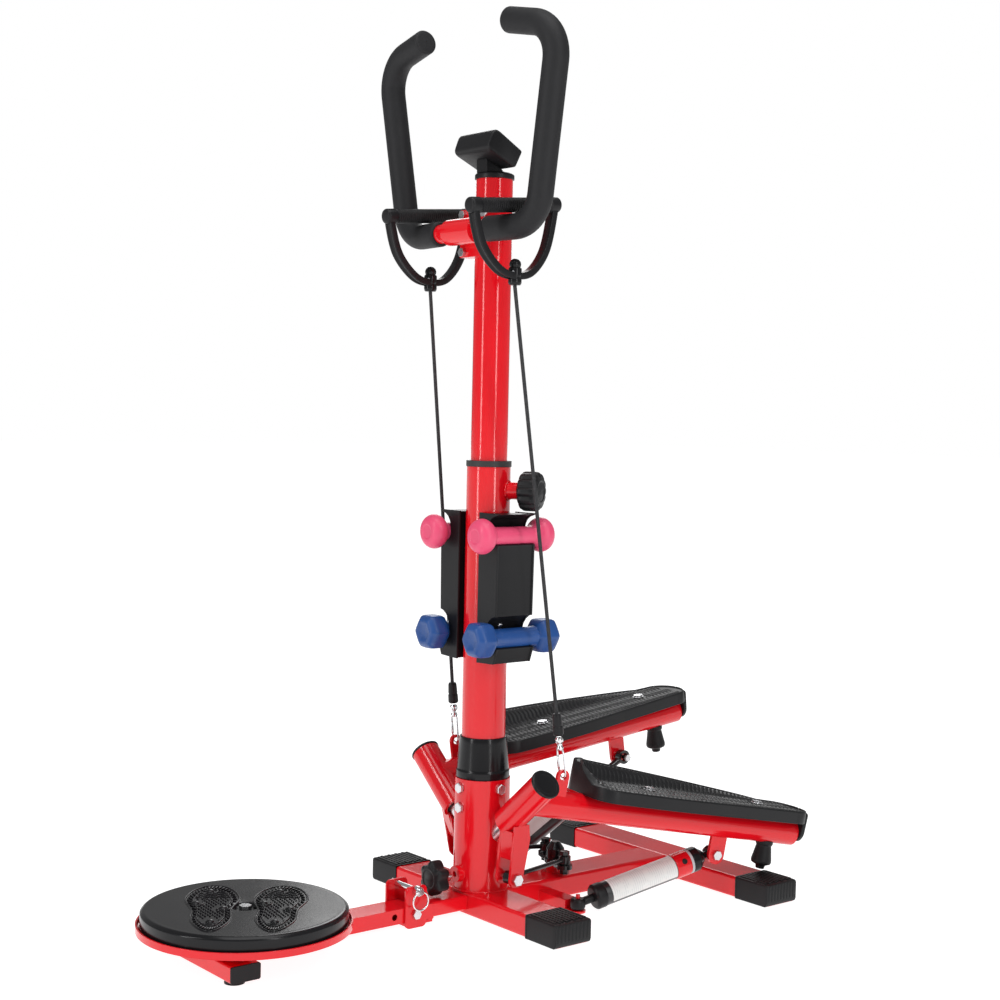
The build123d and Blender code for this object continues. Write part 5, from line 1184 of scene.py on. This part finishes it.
def twist_disc():
    """A glossy disc with a dished centre and two raised footprints of dashes, dots and arcs."""
    low = TRAY_TOP - 0.0045
    profile = [(0.0055, DISC_TOP - 0.009), (0.062, DISC_TOP - 0.009), (0.064, DISC_TOP - 0.005),
               (DISC_RADIUS - 0.004, DISC_TOP - 0.005), (DISC_RADIUS - 0.004, low), (DISC_RADIUS - 0.0003,
                                                                                     low),
               (DISC_RADIUS - 0.0002, DISC_TOP - 0.0045), (DISC_RADIUS - 0.0045, DISC_TOP - 0.0012),
               (DISC_RADIUS - 0.010, DISC_TOP - 0.0014), (0.020, DISC_TOP - 0.0014), (0.0165,
                                                                                      DISC_TOP - 0.0022),
               (0.0140, DISC_TOP - 0.0052), (0.0055, DISC_TOP - 0.0052)]
    disc = Shape().loft([circle(p.x, p.y, 128) for p in round_corners(profile, 0.0016)], loop=True)
    level = DISC_TOP - 0.0015
    relief = 0.0019
    for centre, heading in (((-0.017, -0.038), 149.0), ((0.031, 0.029), 144.0)):
        foot = Matrix.Translation((*centre, 0)) @ Matrix.Rotation(radians(heading), 4, "Z")
        marks = Shape()
        for length, width, thick in ((0.192, 0.084, 0.0013), (0.156, 0.058, 0.0009)):
            marks.join(raised_line(foot_outline(length, width), thick, relief, level, True))
        outer, inner = foot_outline(0.184, 0.076), foot_outline(0.168, 0.064)
        for i in range(0, len(outer), 2):
            marks.join(raised_bar(outer[i], inner[(i + 1) % len(inner)], 0.0024, relief, level))
        for x, y, radius in FOOT_STUDS:
            stud = lathe([(0, -0.0003), (0.0056, -0.0003), (0.0054, 0.0009), (0.0042, 0.0022),
                          (0.0022, 0.0030),
                          (0, 0.0032)], 28)
            marks.join(stud.moved(Matrix.Translation((x, y, level))))
            arc = [Vector((x + radius * cos(radians(a)), y + radius * sin(radians(a)))) for a in range(120,
                                                                                                       301, 15)]
            marks.join(raised_line(arc, 0.0012, relief, level, False))
        for bend in (-0.006, 0.004, 0.014):
            wave = [Vector((0.052 + bend + 0.0026 * sin(k * 1.3), -0.026 + 0.0027 * k)) for k in range(20)]
            marks.join(raised_line([p for p in wave if inside_outline(p, inner)], 0.0009, relief, level,
                                   False))
        for row in range(-15, 16):
            for column in range(-6, 7):
                spot = Vector((row * 0.0062, column * 0.0058 + 0.0029 * (row % 2)))
                near = min(hypot(spot.x - x, spot.y - y) - radius for x, y, radius in FOOT_STUDS)
                if near > 0.003 and not 0.040 < spot.x < 0.072 and inside_outline(spot * 1.24, inner):
                    marks.join(raised_bar(spot, spot + Vector((0.0030, 0.0016)), 0.0018, relief * 0.8, level))
        marks.verts = [foot @ Vector(v) for v in marks.verts]
        disc.join(marks)
    disc.moved(Matrix.Translation((DISC_AXIS.x, DISC_AXIS.y, 0)))
    piece("footprint_disc", disc.verts, disc.faces, GLOSS, "twist_disc", "twist_disc", 32.0)


twist_disc()


# ---------------------------------------------------------------- dumbbells
def round_dumbbell(way):
    """Round heads with a waist, a smooth handle and a dimpled end face."""
    half, length = 0.0635, 0.028
    profile = [(0, -half + 0.001), (0.009, -half + 0.001), (0.0105, -half + 0.0002), (0.0150, -half + 0.0006),
               (0.0205, -half + 0.004), (0.0236, -half + 0.010), (0.0238, -half + 0.016),
               (0.0205, -half + 0.0225), (SMALL_HANDLE_R + 0.003, -half + length - 0.002),
               (SMALL_HANDLE_R, -half + length + 0.003), (SMALL_HANDLE_R, 0.0)]
    left = round_corners(profile, 0.004, 6)
    full = left + [Vector((p.x, -p.y)) for p in reversed(left)]
    bell = lathe(full, 64)
    label = "right" if way > 0 else "left"
    low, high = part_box(f"small_dumbbell_{label}")
    middle = (low + high) / 2
    bell.moved(look_along(middle, (0, 1, 0)))
    piece(f"round_dumbbell_{label}", bell.verts, bell.faces, PINK, f"small_dumbbell_{label}",
          f"small_dumbbell_{label}")


def rounded_hexagon(radius, z, softness, count=72):
    """A hexagonal ring with rounded corners."""
    points = []
    for i in range(count):
        angle = 2 * pi * i / count
        sector = (angle + pi / 6) % (pi / 3) - pi / 6
        flat = radius * cos(pi / 6) / max(cos(pi / 6 - abs(sector)), 1e-6)
        reach = (flat ** -14 + (radius * softness) ** -14) ** (-1 / 14)
        points.append(Vector((reach * cos(angle), reach * sin(angle), z)))
    return points


def hexagonal_dumbbell(way):
    """Faceted heads with chamfered rims on a thick handle."""
    label = "right" if way > 0 else "left"
    low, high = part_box(f"large_dumbbell_{label}")
    half, radius, head = (high.y - low.y) / 2, 0.0268, 0.033
    rings = []
    levels = ((0.10, 0.0012), (0.45, 0.0012), (0.50, 0.0004), (0.66, 0.0), (0.76, 0.0012), (0.93, 0.0052),
              (0.985, 0.0085), (1.0, 0.012), (1.0, head - 0.012), (0.985, head - 0.0085), (0.90,
                                                                                           head - 0.0045),
              (0.74, head - 0.001), (0.60, head))
    for share, at in levels:
        rings.append(rounded_hexagon(radius * share, -half + at, 0.985))
    rings.append(circle(LARGE_HANDLE_R + 0.001, -half + head + 0.001, 72))
    rings.append(circle(LARGE_HANDLE_R, -half + head + 0.003, 72))
    mirrored = [[Vector((p.x, p.y, -p.z)) for p in ring] for ring in reversed(rings)]
    bell = Shape().loft(rings + mirrored)
    bell.moved(look_along((low + high) / 2, (0, 1, 0), (1, 0, 0)))
    piece(f"hexagonal_dumbbell_{label}", bell.verts, bell.faces, BLUE, f"large_dumbbell_{label}",
          f"large_dumbbell_{label}", 50.0)


for way in (1, -1):
    round_dumbbell(way)
    hexagonal_dumbbell(way)


# ---------------------------------------------------------------- small metalwork
def weld_bead(name, centre, axis, radius, body, wobble=0.0004, thick=0.0017):
    """A painted weld bead: a ring with the small scallops of each pass."""
    count, sides = 132, 10
    rings = []
    for i in range(count):
        angle = 2 * pi * i / count
        swell = thick * (1 + 0.16 * sin(angle * 31) + 0.08 * sin(angle * 13 + 1))
        reach = radius + wobble * sin(angle * 7)
        out = Vector((cos(angle), sin(angle), 0))
        rings.append([out * (reach + swell * cos(a)) + Vector((0, 0, swell * sin(a)))
                      for a in [2 * pi * k / sides for k in range(sides)]])
    bead = Shape().loft(rings, loop=True).moved(look_along(centre, axis))
    piece(name, bead.verts, bead.faces, RED, body, None)


weld_bead("weld_socket_foot", (0, POST_CENTRE_Y, 0.0315), (0, 0, 1), 0.0385, "frame")
BOSS = JOINTS["post_knob_turn"]
weld_bead("weld_post_boss", Vector((0, POST_CENTRE_Y, 0.578)) + Vector(BOSS["axis"]) * 0.0295, BOSS["axis"],
          0.0125, "frame",
          0.0002, 0.0014)


# ---------------------------------------------------------------- dumbbell racks


def seat_arc(height, radius, start, end):
    """The hollow that a dumbbell's handle lies in."""
    return [Vector((BELL_X + radius * cos(radians(a)), height + radius * sin(radians(a))))
            for a in range(start, end, -9)]


def rack(way):
    """A channel-shaped holder: two side plates with hooked seats and a panel let in between them."""
    label = "right" if way > 0 else "left"
    side_view = [Vector(p) for p in ((RACK_BACK, RACK_BOTTOM), (0.0575, RACK_BOTTOM + 0.0015),
                                     (0.0648, 0.3680))]
    side_view += seat_arc(LARGE_BELL_Z, 0.0139, -54, -190)
    side_view += [Vector(p) for p in ((0.0398, 0.3900), (0.0425, 0.3980), (0.0480, 0.4050), (0.0545, 0.4095),
                                      (0.0605, 0.4110), (0.0622, 0.5030), (0.0628, 0.5065))]
    side_view += seat_arc(SMALL_BELL_Z, 0.0126, -62, -190)
    side_view += [Vector(p) for p in ((0.0412, 0.5270), (0.0430, 0.5340), (0.0470, 0.5400), (0.0530, 0.5440),
                                      (0.0600, 0.5460), (0.0640, 0.5475), (0.0640, RACK_TOP), (RACK_BACK,
                                                                                               RACK_TOP))]
    upright_view = Matrix(((way, 0, 0, 0), (0, 0, 1, POST_CENTRE_Y), (0, 1, 0, 0), (0, 0, 0, 1)))
    holder = Shape()
    for low, high in ((-RACK_HALF, -RACK_HALF + RACK_SKIN), (RACK_HALF - RACK_SKIN, RACK_HALF)):
        holder.join(slab(side_view, low, high, 0.0006, 2))
    panel = [Vector((p.x - 0.0016 if p.x > 0.03 else 0.0272, min(p.y, RACK_TOP - 0.0012))) for p in side_view]
    holder.join(slab(panel, -RACK_HALF + RACK_SKIN * 0.8, RACK_HALF - RACK_SKIN * 0.8, 0.0002, 1))
    holder.moved(upright_view)
    piece(f"rack_shell_{label}", holder.verts, holder.faces, PLASTIC, "frame", f"rack_{label}",
          20.0)
    screw = lathe(round_corners([(0, 0), (0.0042, 0), (0.0038, 0.0016), (0.0020, 0.0022), (0, 0.0022)],
                                0.0005), 28)
    screw.moved(look_along((way * 0.0402, POST_CENTRE_Y - 0.008, 0.3965), (way, 0, -0.3)))
    piece(f"rack_screw_{label}", screw.verts, screw.faces, STEEL, "frame", None)


rack(1)
rack(-1)

# ---------------------------------------------------------------- stage and light
floor_mesh = bpy.data.meshes.new("floor")
floor_mesh.from_pydata([(-30, -30, -0.0003), (30, -30, -0.0003), (30, 30, -0.0003), (-30, 30, -0.0003)], [],
                       [(0, 1, 2, 3)])
floor_mesh.materials.append(floor_finish())
floor = bpy.data.objects.new("floor", floor_mesh)
bpy.context.scene.collection.objects.link(floor)


def soft_light(name, place, aim, width, height, power):
    """A rectangular soft light turned towards a point."""
    data = bpy.data.lights.new(name, "AREA")
    data.shape, data.size, data.size_y, data.energy = "RECTANGLE", width, height, power
    light = bpy.data.objects.new(name, data)
    light.location = place
    light.rotation_euler = (Vector(aim) - Vector(place)).to_track_quat("-Z", "Y").to_euler()
    bpy.context.scene.collection.objects.link(light)


soft_light("key", (2.7, -0.2, 1.5), (0, 0, 0.6), 0.3, 2.8, 27)
soft_light("fill", (-0.3, -2.9, 1.5), (0, 0, 0.6), 0.3, 2.8, 29)
soft_light("rim", (-2.4, 1.9, 2.1), (0, 0, 0.7), 1.2, 2.0, 26)
soft_light("top", (0.5, -0.3, 3.2), (0, 0, 0.3), 2.2, 2.2, 40)

world = bpy.data.worlds.new("studio")
world.use_nodes = True
sky = world.node_tree.nodes["Background"]
backdrop = world.node_tree.nodes.new("ShaderNodeBackground")
seen = world.node_tree.nodes.new("ShaderNodeLightPath")
either = world.node_tree.nodes.new("ShaderNodeMixShader")
for shade, strength in ((sky, 0.30), (backdrop, 1.0)):
    shade.inputs["Color"].default_value = (1, 1, 1, 1)
    shade.inputs["Strength"].default_value = strength
world.node_tree.links.new(seen.outputs["Is Camera Ray"], either.inputs[0])
world.node_tree.links.new(sky.outputs[0], either.inputs[1])
world.node_tree.links.new(backdrop.outputs[0], either.inputs[2])
world.node_tree.links.new(either.outputs[0], world.node_tree.nodes["World Output"].inputs["Surface"])
bpy.context.scene.world = world
bpy.context.scene.view_settings.view_transform = "Standard"
